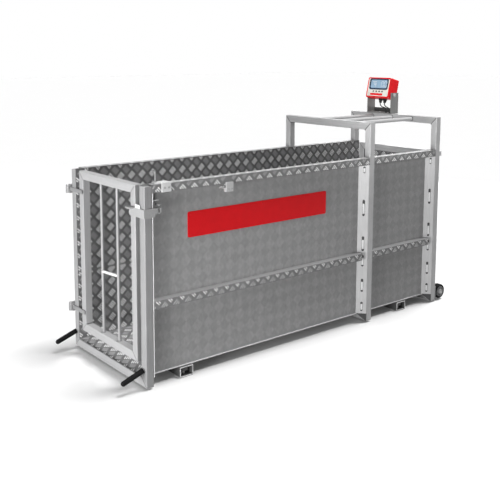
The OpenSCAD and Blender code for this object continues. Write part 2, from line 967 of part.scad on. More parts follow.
// Staple on the near rear post
module bolt_keeper() {
  reach = bolt_d / 2 + keeper_play;
  back = bolt_x + reach;
  color("silver") placed() difference() {
    box([crate_len, keeper_y, bolt_z - reach - staple_t],
        [back + staple_t, keeper_y + guide_len, bolt_z + reach + staple_t]);
    box([crate_len - over, keeper_y - over, bolt_z - reach],
        [back, keeper_y + guide_len + over, bolt_z + reach]);
  }
}

module gate_bolt() {
  color("gainsboro") placed() {
    bar_y(bolt_x, bolt_z, bolt_start, bolt_start + bolt_len, bolt_d);
    translate([bolt_x, lever_y, bolt_z]) rotate([0, 90, 0]) cylinder(d = lever_d, h = bolt_lever);
    translate([bolt_x + bolt_lever, lever_y, bolt_z]) sphere(d = 2 * lever_d);
  }
}

// Sign

sign_len = portal_x - sign_x - sign_end;
sign_z = wall_h - sign_drop - sign_h;

module sign_plate() {
  color("crimson") placed() translate([sign_x + sign_len / 2, -post_in, sign_z + sign_h / 2])
    rotate([90, 0, 0]) linear_extrude(sign_t) rounded_square(sign_len, sign_h, rivet_d);
}

module sign_rivets() {
  inset = 1.5 * rivet_d;
  color("silver") placed() for (x = [sign_x + inset, sign_x + sign_len / 2, sign_x + sign_len - inset]) {
    for (z = [sign_z + inset, sign_z + sign_h - inset]) {
      bar_y(x, z, -post_in - sign_t - rivet_d / 4, -post_in - sign_t, rivet_d);
    }
  }
}

// Indicator

// The indicator's own frame, with the pivot at its origin and its front facing the front door
module at_pivot() {
  translate([pivot_x, case_y, pivot_z]) children();
}

module tilted() {
  at_pivot() rotate([0, case_tilt, 0]) children();
}

// Block with round edges along X, from the front to the back of the housing
module case_block(front, back, inset, radius) {
  translate([front, 0, case_low + case_h / 2]) rotate([90, 0, 90]) linear_extrude(back - front)
    rounded_square(case_w - 2 * inset, case_h - 2 * inset, radius);
}

module indicator_bracket() {
  front = base_front - pivot_x;
  low = -pivot_h;
  arm_top = pivot_d + arm_t;
  color("dimgray") placed() at_pivot() difference() {
    union() {
      box([front, -arm_in - arm_t, low], [front + arm_w, arm_in + arm_t, low + arm_t]);
      for (y = [-arm_in - arm_t, arm_in]) {
        box([front, y, low], [front + arm_w, y + arm_t, arm_top]);
      }
    }
    bar_y(0, 0, -case_w, case_w, pivot_d + 2 * run_gap);
  }
}

module bracket_screws() {
  color("silver") placed() for (share = base_screw_shares) {
    translate([base_front + tube / 2, case_y + share * case_w / 2, portal_h + arm_t])
      cylinder(d = base_screw_d, h = base_screw_t);
  }
}

module pivot_knobs() {
  color("lightgray") placed() at_pivot() for (side = [-1, 1]) {
    mirror([0, side > 0 ? 1 : 0, 0]) {
      bar_y(0, 0, -arm_in - arm_t - run_gap - knob_d / 2, -arm_in - arm_t - side_gap, knob_d);
      bar_y(0, 0, -arm_in - arm_t - knob_d / 2, -case_w / 2, pivot_d);
    }
  }
}

module indicator_housing() {
  back = case_front + case_d;
  color("firebrick") placed() tilted() difference() {
    case_block(case_front, back, 0, case_r);
    case_block(case_front - over, back - case_wall, case_wall, case_r - case_wall);
    for (share = gland_shares) {
      translate([case_front + gland_back, share * case_w, case_low - over])
        cylinder(d = gland_d / 2, h = case_wall + 2 * over);
    }
  }
}

window_w = case_w * window_w_share;
window_h = case_h * window_h_share;
window_z = case_low + case_h * window_z_share;
key_z = case_low + case_h * key_z_share;
panel_front = case_front - panel_proud;
panel_back = case_front + panel_plug;

// Round cut or pin along X at a key's place
module at_key(i, from, to, d) {
  translate([from, ((key_count - 1) / 2 - i) * key_pitch, key_z]) rotate([0, 90, 0])
    cylinder(d = d, h = to - from);
}

module front_panel() {
  color("antiquewhite") placed() tilted() difference() {
    case_block(panel_front, panel_back, case_wall + run_gap, case_r - case_wall);
    box([panel_front - over, -window_w / 2, window_z - window_h / 2],
        [panel_back + over, window_w / 2, window_z + window_h / 2]);
    for (i = [0 : key_count - 1]) {
      at_key(i, panel_front - over, panel_back + over, key_d + 2 * side_gap);
    }
  }
}

module display() {
  color("lightsteelblue") placed() tilted() difference() {
    box([panel_front - lens_proud, -window_w / 2, window_z - window_h / 2],
        [panel_back, window_w / 2, window_z + window_h / 2]);
    box([panel_front - lens_proud - over, -window_w / 2 + lens_t, window_z - window_h / 2 + lens_t],
        [panel_front + lens_proud, window_w / 2 - lens_t, window_z + window_h / 2 - lens_t]);
  }
}

board_front = panel_back + key_seat;

module key(i) {
  color("black") placed() tilted()
    at_key(i, panel_front - key_proud, board_front - key_travel - side_gap, key_d);
}

module key_1() {
  key(0);
}

module key_2() {
  key(1);
}

module key_3() {
  key(2);
}

module key_4() {
  key(3);
}

// Board on four posts behind the front panel
module circuit_board() {
  half_y = case_w / 2 - case_wall - case_r;
  low = case_low + case_wall + case_r;
  high = case_low + case_h - case_wall - case_r;
  color("darkgreen") placed() tilted() {
    box([board_front, -half_y, low], [board_front + board_t, half_y, high]);
    for (y = [-half_y + case_r / 2, half_y - case_r / 2], z = [low + case_r / 2, high - case_r / 2]) {
      translate([panel_back, y, z]) rotate([0, 90, 0]) cylinder(d = case_r / 2, h = board_front - panel_back);
    }
  }
}

module battery_pack() {
  back = case_front + case_d - case_wall;
  half_y = case_w / 4;
  mid = case_low + case_h * battery_z_share;
  color("black") placed() tilted()
    box([back - case_d / 3, -half_y, mid - case_h / 6], [back, half_y, mid + case_h / 6]);
}

module cable_glands() {
  color("black") placed() tilted() for (share = gland_shares) {
    translate([case_front + gland_back, share * case_w, case_low - gland_len]) {
      cylinder(d = gland_d * gland_nose_share, h = gland_len / 2);
      translate([0, 0, gland_len / 2]) cylinder(d = gland_d, h = gland_len / 2);
      translate([0, 0, gland_len]) cylinder(d = gland_d / 2 - 2 * run_gap, h = case_wall);
    }
  }
}

module cable_entries() {
  color("black") placed() for (share = entry_shares) {
    translate([entry_x, case_y + share * case_w / 2, portal_h + arm_t]) cylinder(d = entry_d, h = entry_t);
  }
}

// Point on a gland's axis in the crate's frame, after the housing's tilt
function gland_point(share, below) =
  let (x = case_front + gland_back, z = case_low - gland_len - below)
  [pivot_x + x * cos(case_tilt) + z * sin(case_tilt), case_y + share * case_w,
   pivot_z - x * sin(case_tilt) + z * cos(case_tilt)];

function entry_point(share, above) =
  [entry_x, case_y + share * case_w / 2, portal_h + arm_t + entry_t + above];

// Straight out of the gland, two arcs that turn away from the vertical and back, straight into the entry
function lead_route(i) =
  let (from = gland_point(gland_shares[i], lead_d / 2), to = entry_point(entry_shares[i], 0),
       across = [to[0] - from[0], to[1] - from[1], 0],
       side = across / norm(across),
       turn = acos(1 - norm(across) / (2 * lead_bend)),
       arc = [for (k = [1 : lead_steps])
         let (a = turn * k / lead_steps) [lead_bend * (1 - cos(a)), lead_bend * sin(a)]],
       mid = arc[lead_steps - 1])
  concat([gland_point(gland_shares[i], lead_gap), from],
    [for (p = arc) from + side * p[0] - [0, 0, p[1]]],
    [for (k = [lead_steps - 2 : -1 : 0])
      from + side * (2 * mid[0] - arc[k][0]) - [0, 0, 2 * mid[1] - arc[k][1]]],
    [from + across - [0, 0, 2 * mid[1]], entry_point(entry_shares[i], lead_gap)]);

// Direction of a route at one of its points
function heading(route, i) =
  let (d = route[min(i + 1, len(route) - 1)] - route[max(i - 1, 0)])
  d / norm(d);

// Ring of points square to the route; the route never runs along X
function ring(route, i) =
  let (t = heading(route, i), u = cross(t, [1, 0, 0]), a = u / norm(u), b = cross(t, a))
  [for (k = [0 : lead_sides - 1])
    route[i] + lead_d / 2 * (a * cos(360 * k / lead_sides) + b * sin(360 * k / lead_sides))];

module swept_lead(route) {
  last = len(route) - 1;
  points = [for (i = [0 : last]) each ring(route, i)];
  walls = [for (r = [0 : last - 1], k = [0 : lead_sides - 1])
    let (a = r * lead_sides + k, b = r * lead_sides + (k + 1) % lead_sides)
    each [[a, b + lead_sides, b], [a, a + lead_sides, b + lead_sides]]];
  start = [for (k = [0 : lead_sides - 1]) k];
  finish = [for (k = [lead_sides - 1 : -1 : 0]) last * lead_sides + k];
  polyhedron(points, concat([start, finish], walls));
}

module leads() {
  color("black") placed() for (i = [0, 1]) {
    swept_lead(lead_route(i));
  }
}

front_posts();
portal_posts();
rear_posts();
top_beams();
foot_tubes();
post_caps();
floor_plate();
upper_walls();
lower_walls();
slotted_plates();
roof_rails();
load_bars();
load_cells();
load_feet();
wheel_brackets();
wheel_axles();
handle_bars();
handle_grips();
hinge_lugs();
hinge_pins();
rod_guides();
guide_screws();
lip_clamp();
clamp_stud();
clamp_screws();
bolt_keeper();
sign_plate();
sign_rivets();
indicator_bracket();
bracket_screws();
cable_entries();
leads();
door_stiles();
door_rails();
door_bars();
door_cross_bar();
door_hinge_straps();
latch_strap();
gate_stiles();
gate_rails();
gate_panel();
gate_hinge_straps();
bolt_guides();
gate_bolt();
drop_rod();
near_wheel_tyre();
near_wheel_hub();
far_wheel_tyre();
far_wheel_hub();
indicator_housing();
front_panel();
display();
circuit_board();
battery_pack();
pivot_knobs();
cable_glands();
key_1();
key_2();
key_3();
key_4();
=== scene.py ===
"""Looks of a weighing crate for pigs: tread ribs, welds, fasteners, wheels, indicator and finishes."""
import math

import bmesh
import bpy
import numpy as np
from bpy.props import FloatProperty, FloatVectorProperty, IntProperty, PointerProperty
from mathutils import Matrix, Vector


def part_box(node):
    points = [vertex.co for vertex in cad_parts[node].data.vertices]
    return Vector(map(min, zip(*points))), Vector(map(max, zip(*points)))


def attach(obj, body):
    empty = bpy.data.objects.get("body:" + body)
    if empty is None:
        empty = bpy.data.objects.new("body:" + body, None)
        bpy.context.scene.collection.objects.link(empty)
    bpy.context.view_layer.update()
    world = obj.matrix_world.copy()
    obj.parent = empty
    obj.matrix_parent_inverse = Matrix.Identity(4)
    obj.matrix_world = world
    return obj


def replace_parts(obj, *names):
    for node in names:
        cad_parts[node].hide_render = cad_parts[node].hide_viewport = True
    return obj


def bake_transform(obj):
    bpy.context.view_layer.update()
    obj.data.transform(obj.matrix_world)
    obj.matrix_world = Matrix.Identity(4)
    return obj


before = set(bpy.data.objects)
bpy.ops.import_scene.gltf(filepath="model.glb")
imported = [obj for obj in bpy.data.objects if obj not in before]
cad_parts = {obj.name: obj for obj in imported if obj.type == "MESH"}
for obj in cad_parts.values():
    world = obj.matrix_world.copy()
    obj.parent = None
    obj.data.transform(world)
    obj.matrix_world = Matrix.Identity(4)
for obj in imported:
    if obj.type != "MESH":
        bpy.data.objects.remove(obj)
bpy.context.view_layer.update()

bl_info = {
    "name": "Weighing Crate Looks",
    "version": (1, 0, 0),
    "blender": (4, 5, 0),
    "location": "3D View > Sidebar > Crate",
    "description": "Dresses the solids of a weighing crate with sheet relief, welds, fasteners and finishes",
    "category": "Object",
}

# Places read from the solids
FRONT_LOW, FRONT_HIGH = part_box("front_posts")
PORTAL_LOW, PORTAL_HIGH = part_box("portal_posts")
REAR_LOW, REAR_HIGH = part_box("rear_posts")
BEAM_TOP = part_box("top_beams")[1].z
RAIL_LOW, RAIL_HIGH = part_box("roof_rails")
FLOOR_LOW, FLOOR_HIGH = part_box("floor_plate")
UPPER_LOW, UPPER_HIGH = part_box("upper_walls")
LOWER_LOW, LOWER_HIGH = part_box("lower_walls")
PLATE_LOW, PLATE_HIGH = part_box("slotted_plates")
GATE_LOW, GATE_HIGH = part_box("gate_panel")
LOAD_LOW, LOAD_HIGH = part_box("load_bars")
BAR_LOW, BAR_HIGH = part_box("door_bars")
TUBE = FRONT_HIGH.x - FRONT_LOW.x
SHEET = GATE_HIGH.x - GATE_LOW.x
HALF = FRONT_HIGH.y
WALL_OUT = FLOOR_HIGH.y
WALL_IN = WALL_OUT - SHEET
LIP_LOW = PLATE_HIGH.z
PIVOT = sum(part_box("pivot_knobs"), Vector()) / 2
SIDES = ((-1, "near"), (1, "far"))
UP, ALONG, ACROSS = (0, 0, 1), (1, 0, 0), (0, 1, 0)


# Settings

def colour_setting(name, description, default):
    return FloatVectorProperty(name=name, description=description, default=default, size=3,
                               min=0, max=1, subtype="COLOR")


def length_setting(name, description, default, low=0.0, high=1.0):
    return FloatProperty(name=name, description=description, default=default, min=low, max=high,
                         unit="LENGTH")


def share_setting(name, description, default, low=0.0):
    return FloatProperty(name=name, description=description, default=default, min=low, max=1.0,
                         subtype="FACTOR")


def angle_setting(name, description, degrees):
    return FloatProperty(name=name, description=description, default=math.radians(degrees),
                         subtype="ANGLE")


def power_setting(name, description, default):
    return FloatProperty(name=name, description=description, default=default, min=0, max=1000,
                         unit="POWER")


class CrateTread(bpy.types.PropertyGroup):
    cell: length_setting("Diamond", "Side of one diamond of the tread pattern", 0.046, 0.02, 0.09)
    ribs: IntProperty(
        name="Ribs", description="Parallel ribs in one diamond", default=4, min=2, max=8)
    length_share: share_setting("Rib length", "Length of a rib as a share of the diamond's side", 0.70, 0.4)
    width: length_setting("Rib width", "Width of a rib at its foot", 0.0060, 0.002, 0.01)
    height: length_setting("Rib height", "Height of a rib above the sheet", 0.0016, 0.0005, 0.003)
    wall_offset: FloatVectorProperty(
        name="Wall offset", description="Start of the pattern on the far wall, along and up",
        default=(0.0325, 0.0125), size=2, unit="LENGTH")
    band_drop: length_setting("Band drop", "Height of the lower wall's folded band", 0.039, 0.02, 0.06)


class CrateMetal(bpy.types.PropertyGroup):
    # The front posts, the door and the arches are one bare metal; these three colours are lit and shaded
    # copies of it, painted light and shade set to how bright each part stands.
    tube_colour: colour_setting("Tube", "Bare metal of the front posts and the bars", (0.33, 0.33, 0.334))
    door_lit_colour: colour_setting(
        "Door tube", "Brighter metal of the front door's frame and the foot tubes", (0.40, 0.40, 0.404))
    arch_lit_colour: colour_setting(
        "Arch tube", "Metal of the portal, the rear frame and the roof rails", (0.59, 0.59, 0.595))
    hinge_colour: colour_setting(
        "Hinges", "Grey metal of hinges, lugs and the drop rod", (0.27, 0.27, 0.273))
    sheet_colour: colour_setting("Sheet outside", "Plain outer face of the walls", (0.47, 0.47, 0.473))
    # Far darker than the sheet's outer face: the tread's ground with painted shade of the crate's inside.
    inside_shaded_colour: colour_setting(
        "Sheet inside", "Ground of the tread pattern inside the crate", (0.165, 0.165, 0.167))
    fold_colour: colour_setting("Folds", "Ground of the folded lips and bands", (0.26, 0.26, 0.263))
    # The rib colours are the lit rows; every second row of ribs takes a darker copy of them, painted shade
    # for the ribs of that way catching less light.
    rib_colour: colour_setting(
        "Ribs inside", "Ribs of the tread pattern inside the crate", (0.98, 0.98, 0.985))
    fold_rib_colour: colour_setting("Ribs of folds", "Ribs of the lips and bands", (0.98, 0.98, 0.98))
    shaded_row_share: share_setting(
        "Shaded rows", "Brightness of every second row of ribs against the others", 0.35, 0.1)
    plate_colour: colour_setting("Slotted plates", "Polished slotted plates", (0.64, 0.64, 0.645))
    bright_colour: colour_setting(
        "Bright steel", "Zinc plated screws, pins and small fittings", (0.45, 0.45, 0.45))
    bracket_colour: colour_setting(
        "Bracket steel", "Stainless bracket of the indicator", (0.26, 0.26, 0.256))
    weld_size: length_setting("Weld bead", "Radius of a weld bead", 0.0026, 0.001, 0.006)


class CrateTrim(bpy.types.PropertyGroup):
    sign_colour: colour_setting("Sign", "Red film on the plain sign plate", (0.99, 0.012, 0.019))
    shell_colour: colour_setting("Housing", "Red plastic of the indicator's housing", (0.97, 0.014, 0.022))
    panel_colour: colour_setting("Front panel", "Cream plastic of the front panel", (1.0, 0.95, 0.85))
    bezel_colour: colour_setting("Display frame", "Dark frame round the display", (0.020, 0.036, 0.075))
    screen_colour: colour_setting("Display", "Lit ground of the display", (0.34, 0.52, 0.70))
    digit_colour: colour_setting("Digits", "Segments of the display", (0.80, 0.84, 0.92))
    rubber_colour: colour_setting("Rubber", "Grips and tyres", (0.006, 0.006, 0.0065))
    hub_colour: colour_setting("Hubs", "Grey plastic of the wheel hubs", (0.34, 0.34, 0.345))


class CrateIndicator(bpy.types.PropertyGroup):
    tilt: angle_setting("Tilt", "Lean of the housing at rest", 12.6)
    width: length_setting("Width", "Width of the housing", 0.182)
    height: length_setting("Height", "Height of the housing", 0.129)
    depth: length_setting("Depth", "Depth of the housing", 0.076)
    below: length_setting("Below pivot", "Housing below the pivot", 0.028)
    ahead: length_setting("Ahead of pivot", "Housing in front of the pivot", 0.041)
    panel_proud: length_setting("Panel proud", "Front panel in front of the housing", 0.002)
    corner: length_setting("Corner", "Corner radius of the housing", 0.010)
    lead_diameter: length_setting("Lead", "Diameter of a lead", 0.006)
    lead_bend: length_setting("Lead bend", "Radius of a lead's two bends", 0.024)


class CrateStage(bpy.types.PropertyGroup):
    camera_place: FloatVectorProperty(
        name="Camera", description="Camera's place", default=(-2.8138, -3.1968, 1.5141), size=3,
        unit="LENGTH")
    yaw: angle_setting("Yaw", "Turn of the view from the crate's width towards its length", 37.974)
    pitch: angle_setting("Pitch", "View's fall below the horizon", 7.1534)
    lens: FloatProperty(
        name="Lens", description="Focal length in millimetres on a 36 mm sensor", default=56.204)
    shift_x: FloatProperty(name="Shift across", description="Sideways shift of the frame", default=0.0517)
    shift_y: FloatProperty(name="Shift up", description="Upward shift of the frame", default=-0.20)
    sky: share_setting("Room light", "Light of the white room on the object", 0.14)
    top_lamp: FloatProperty(
        name="Top light", description="Strength of the wide lamp above", default=3.0, min=0, max=5)
    key_softbox: power_setting("Key light", "Softbox in front of the door", 142.0)
    near_softbox: power_setting("Near light", "Weak softbox on the near side", 15.0)
    indicator_lamp: power_setting("Indicator light", "Narrow soft light on the indicator", 210.0)
    rear_softbox: power_setting("Rear light", "Softbox behind the gate", 45.0)
    floor_colour: colour_setting("Floor", "Pale studio floor", (0.95, 0.95, 0.95))
    floor_glow: share_setting("Floor white", "Share of the floor's white that shadows leave", 0.025)
    floor_bounce: share_setting("Floor bounce", "Share of the floor's colour that lights the object", 0.21)


# Mesh making

HEX_CORNER = 0.155      # how far a hexagon's corners stand past its flats
WASHER_SHARE = 0.22     # thickness of a washer against its width
WELD_GAP = 1e-7         # points nearer than this are one
CORNER_STEPS = 6        # in a quarter turn of a rounded rectangle
BOX_FACES = ((0, 3, 2, 1), (4, 5, 6, 7), (0, 1, 5, 4), (1, 2, 6, 5), (2, 3, 7, 6), (3, 0, 4, 7))


def circle(steps):
    """Angles round a full turn."""
    return [2 * math.pi * k / steps for k in range(steps)]


def skin(bm, a, b):
    """Faces between two closed rings of vertices."""
    for i in range(len(a)):
        j = (i + 1) % len(a)
        bm.faces.new((a[i], a[j], b[j], b[i]))


def loft(bm, rings, caps=True):
    """Skin through rings of the same number of points, closed at both ends if asked."""
    made = [[bm.verts.new(p) for p in ring] for ring in rings]
    for a, b in zip(made, made[1:]):
        skin(bm, a, b)
    if caps:
        bm.faces.new(made[0][::-1])
        bm.faces.new(made[-1])


def closed_loft(bm, rings):
    """Skin through rings and back to the first."""
    loft(bm, rings + [rings[0]], caps=False)
    bmesh.ops.remove_doubles(bm, verts=bm.verts, dist=WELD_GAP)


def turned(profile, place, a):
    """Points of a profile of (radius, height), turned by a round the local Z of place."""
    return [place @ Vector((r * math.cos(a), r * math.sin(a), h)) for r, h in profile]


def lathe(bm, profile, place, steps=32):
    """Turned body: profile gives (radius, height) along the local Z of place, from its foot to its top."""
    columns = [turned(profile, place, a) for a in circle(steps)]
    loft(bm, list(zip(*columns)))


def turned_ring(bm, profile, place, steps):
    """Turned body with a bore: the closed profile gives (radius, height) round the local Z of place."""
    rings = [[bm.verts.new(p) for p in turned(profile, place, a)] for a in circle(steps)]
    for a, b in zip(rings, rings[1:] + rings[:1]):
        skin(bm, a, b)


def scaled(profile, radius, height):
    """Profile that is given in shares of a radius and a height."""
    return [(r * radius, h * height) for r, h in profile]


def tube_along(bm, points, radii, sides):
    """Round bar through points, with a radius for each."""
    side = None
    rings = []
    for i, point in enumerate(points):
        heading = (points[min(i + 1, len(points) - 1)] - points[max(i - 1, 0)]).normalized()
        side = heading.orthogonal() if side is None else side - heading * side.dot(heading)
        side.normalize()
        other = heading.cross(side)
        rings.append([point + radii[i] * (side * math.cos(a) + other * math.sin(a)) for a in circle(sides)])
    loft(bm, rings)


def block(bm, low, high, bevel, place=Matrix.Identity(4)):
    """Box between two corners with its edges broken."""
    low, high = Vector(low), Vector(high)
    corners = [place @ Vector((x, y, z)) for z in (low.z, high.z) for x, y in (
        (low.x, low.y), (high.x, low.y), (high.x, high.y), (low.x, high.y))]
    verts = [bm.verts.new(c) for c in corners]
    made = [bm.faces.new([verts[i] for i in f]) for f in BOX_FACES]
    edges = list({e for f in made for e in f.edges})
    bmesh.ops.bevel(bm, geom=edges, offset=bevel, segments=2, profile=0.5, affect="EDGES")


def outline(place, width, height, radius, lift, x):
    """Rectangle with round corners across the local x of place, centred at lift."""
    points = []
    for sx, sy, start in ((1, 1, 0), (-1, 1, 90), (-1, -1, 180), (1, -1, 270)):
        for k in range(CORNER_STEPS + 1):
            a = math.radians(start + 90 * k / CORNER_STEPS)
            y = sx * (width / 2 - radius) + radius * math.cos(a)
            z = lift + sy * (height / 2 - radius) + radius * math.sin(a)
            points.append(place @ Vector((x, y, z)))
    return points


def rounded_frame(bm, place, outer, inner, back, face, ease=0.0006):
    """Frame between two outlines of (width, height, radius, lift), from back to face along the local x."""
    (w, h, r, lift), (iw, ih, ir, ilift) = outer, inner
    closed_loft(bm, [outline(place, *ring) for ring in (
        (*inner, back), (*outer, back), (*outer, face + ease),
        (w - 2 * ease, h - 2 * ease, r - ease, lift, face),
        (iw + 2 * ease, ih + 2 * ease, ir + ease, ilift, face), (*inner, face + ease))])


def hexagon(across, turn_in, steps=24):
    """Points of a hexagon across its flats; a turn_in below one rounds its corners."""
    points = []
    for a in circle(steps):
        off = (a + math.pi / 6) % (math.pi / 3) - math.pi / 6
        reach = min(across / 2 / math.cos(off), across / 2 * (1 + HEX_CORNER * turn_in))
        points.append((reach * math.cos(a), reach * math.sin(a)))
    return points


def hex_prism(bm, place, levels):
    """Hexagonal body through levels of (width across its flats, turn_in, height)."""
    loft(bm, [[place @ Vector((x, y, h)) for x, y in hexagon(across, turn)] for across, turn, h in levels])


def hex_screw(bm, place, across, height, washer):
    """Hexagon head with a chamfer, on a washer."""
    thick = washer * WASHER_SHARE
    lathe(bm, scaled(((0.96, -0.2), (1.0, 0.2), (1.0, 0.7), (0.95, 1.0)), washer / 2, thick), place, 28)
    hex_prism(bm, place, [(across, 1.0, thick * 0.9), (across, 1.0, thick + height * 0.8),
                          (across * 0.93, 0.3, thick + height)])


def facing(point, normal, turn=0.0):
    """Place whose local Z looks along normal."""
    return (Matrix.Translation(point) @ Vector(normal).to_track_quat("Z", "Y").to_matrix().to_4x4()
            @ Matrix.Rotation(turn, 4, "Z"))


def piece(name, bm, material, body, smooth=40.0):
    """Ends a mesh as a piece that rides on a body and takes its finish from a slot."""
    if not bm.faces:
        raise RuntimeError(name + " has no faces")
    bmesh.ops.recalc_face_normals(bm, faces=bm.faces)
    mesh = bpy.data.meshes.new(name)
    bm.to_mesh(mesh)
    bm.free()
    mesh.shade_smooth()
    mesh.set_sharp_from_angle(angle=math.radians(smooth))
    made = bpy.data.objects.new(name, mesh)
    bpy.context.scene.collection.objects.link(made)
    mesh.materials.append(material)
    if body:
        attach(made, body)
    return made


# Shader groups

def node(tree, kind, inputs=None, **settings):
    """Adds a shader node; inputs are constants or sockets."""
    made = tree.nodes.new("ShaderNode" + kind)
    for key, value in settings.items():
        setattr(made, key, value)
    for key, value in (inputs or {}).items():
        if isinstance(value, bpy.types.NodeSocket):
            tree.links.new(value, made.inputs[key])
        else:
            made.inputs[key].default_value = value
    return made


def math_node(tree, operation, a, b=0.5, clamp=False):
    return node(tree, "Math", {0: a, 1: b}, operation=operation, use_clamp=clamp).outputs[0]


def times(tree, a, b):
    return math_node(tree, "MULTIPLY", a, b)


def weighed(tree, a, a_share, b, b_share):
    """Sum of two values, each by its share."""
    return math_node(tree, "ADD", times(tree, a, a_share), times(tree, b, b_share))


def mix_colour(tree, factor, a, b):
    return node(tree, "Mix", {0: factor, 6: a, 7: b}, data_type="RGBA").outputs[2]


def spread(tree, value, low, high, to_low=0.0, to_high=1.0):
    return node(tree, "MapRange", {0: value, 1: low, 2: high, 3: to_low, 4: to_high}).outputs[0]


def object_place(tree, stretch=None):
    """Place on the object, stretched if asked."""
    where = node(tree, "TexCoord").outputs["Object"]
    if stretch is None:
        return where
    return node(tree, "VectorMath", {0: where, 1: stretch}, operation="MULTIPLY").outputs[0]


def noise(tree, where, scale, detail, roughness=0.5):
    return node(tree, "TexNoise", {"Vector": where, "Scale": scale, "Detail": detail,
                                   "Roughness": roughness}).outputs[0]


def looks_up(tree):
    """Upward part of the surface's normal."""
    return node(tree, "SeparateXYZ", {0: node(tree, "NewGeometry").outputs["Normal"]}).outputs["Z"]


def start_group(name, inputs, outputs):
    """Shader group with its sockets; inputs are (label, default), outputs are labels of values."""
    tree = bpy.data.node_groups.new(name, "ShaderNodeTree")
    for label, default in inputs:
        kind = "NodeSocketVector" if isinstance(default, tuple) else "NodeSocketFloat"
        tree.interface.new_socket(label, in_out="INPUT", socket_type=kind).default_value = default
    for label in outputs:
        tree.interface.new_socket(label, in_out="OUTPUT", socket_type="NodeSocketFloat")
    return tree, tree.nodes.new("NodeGroupInput").outputs, tree.nodes.new("NodeGroupOutput").inputs


def drawn_grain(name):
    """Lines of the mill and the brush, long along one way of the metal."""
    tree, given, out = start_group(name, [("Stretch", (300, 300, 8))], ["Shade", "Height"])
    where = object_place(tree, given["Stretch"])
    coarse, fine = noise(tree, where, 1.0, 4.0, 0.6), noise(tree, where, 3.7, 2.0)
    tree.links.new(spread(tree, weighed(tree, coarse, 0.65, fine, 0.35), 0.32, 0.68), out["Shade"])
    tree.links.new(fine, out["Height"])
    return tree


def cloudy_patches(name):
    """Soft patches of a rolled or cast surface."""
    tree, given, out = start_group(name, [("Size", 8.0)], ["Shade"])
    wide = noise(tree, object_place(tree), given["Size"], 5.0, 0.62)
    tree.links.new(spread(tree, wide, 0.3, 0.7), out["Shade"])
    return tree


def worn_and_highlit_edges(name):
    """Mask of corners that handling has polished and that take a painted highlight."""
    tree, given, out = start_group(name, [("Radius", 0.002)], ["Mask"])
    flat = node(tree, "NewGeometry").outputs["Normal"]
    rounded = node(tree, "Bevel", {"Radius": given["Radius"]}, samples=6).outputs[0]
    agree = node(tree, "VectorMath", {0: flat, 1: rounded}, operation="DOT_PRODUCT").outputs["Value"]
    broken = noise(tree, object_place(tree), 60.0, 3.0)
    tree.links.new(times(tree, spread(tree, agree, 0.99, 0.80), spread(tree, broken, 0.25, 0.6)), out["Mask"])
    return tree


def tread_print(name):
    """Tread pattern that shows faintly through the plain face of the sheet."""
    tree, given, out = start_group(name, [("Along", 0.0), ("Up", 0.0), ("Cell", 0.046)], ["Mask", "Row"])
    across, lines = times(tree, given["Cell"], math.sqrt(2)), 5.0
    p = math_node(tree, "DIVIDE", math_node(tree, "ADD", given["Along"], given["Up"]), across)
    q = math_node(tree, "DIVIDE", math_node(tree, "SUBTRACT", given["Up"], given["Along"]), across)
    steps = math_node(tree, "ADD", math_node(tree, "FLOOR", p), math_node(tree, "FLOOR", q))
    odd = math_node(tree, "FLOORED_MODULO", steps, 2.0)
    lines_p = math_node(tree, "PINGPONG", times(tree, q, lines), 0.5)
    lines_q = math_node(tree, "PINGPONG", times(tree, p, lines), 0.5)
    shown = node(tree, "Mix", {0: odd, 2: lines_p, 3: lines_q}, data_type="FLOAT").outputs[0]
    tree.links.new(spread(tree, shown, 0.1, 0.4), out["Mask"])
    tree.links.new(odd, out["Row"])
    return tree


def settled_dust(name):
    """Dust that lies on faces that look up, in broken patches."""
    tree, given, out = start_group(name, [("Amount", 0.3)], ["Mask"])
    broken = noise(tree, object_place(tree), 35.0, 6.0, 0.7)
    lies = times(tree, spread(tree, looks_up(tree), 0.2, 1.0), spread(tree, broken, 0.35, 0.7))
    tree.links.new(times(tree, lies, given["Amount"]), out["Mask"])
    return tree


GROUPS = {"Drawn grain": drawn_grain, "Cloudy patches": cloudy_patches, "Worn edges": worn_and_highlit_edges,
          "Tread print": tread_print, "Settled dust": settled_dust}


def use_group(tree, name, **inputs):
    """Places a shader group, made at its first use."""
    made = bpy.data.node_groups.get(name) or GROUPS[name](name)
    return node(tree, "Group", inputs, node_tree=made).outputs


# Finishes

METAL_EDGE_WEAR_SHEEN, PLASTIC_EDGE_WEAR_SHEEN = 0.0015, 0.0012       # radius of the polished corners, which also take a painted highlight


def toned(colour, factor):
    return tuple(min(1.0, c * factor) for c in colour)


def rgba(colour, factor=1.0):
    return toned(colour, factor) + (1.0,)


def start_material(name, **sockets):
    """Material with its Principled shader; sockets are its plain values."""
    made = bpy.data.materials.new(name)
    made.use_nodes = True
    shader = made.node_tree.nodes["Principled BSDF"]
    for key, value in sockets.items():
        shader.inputs[key.replace("_", " ")].default_value = value
    return made, made.node_tree, shader.inputs


def surface(tree, shader, colour, rough, height, strength, distance):
    """Links a finish's colour, roughness and relief to its shader."""
    tree.links.new(colour, shader["Base Color"])
    tree.links.new(rough, shader["Roughness"])
    relief = node(tree, "Bump", {"Height": height, "Strength": strength, "Distance": distance})
    tree.links.new(relief.outputs[0], shader["Normal"])


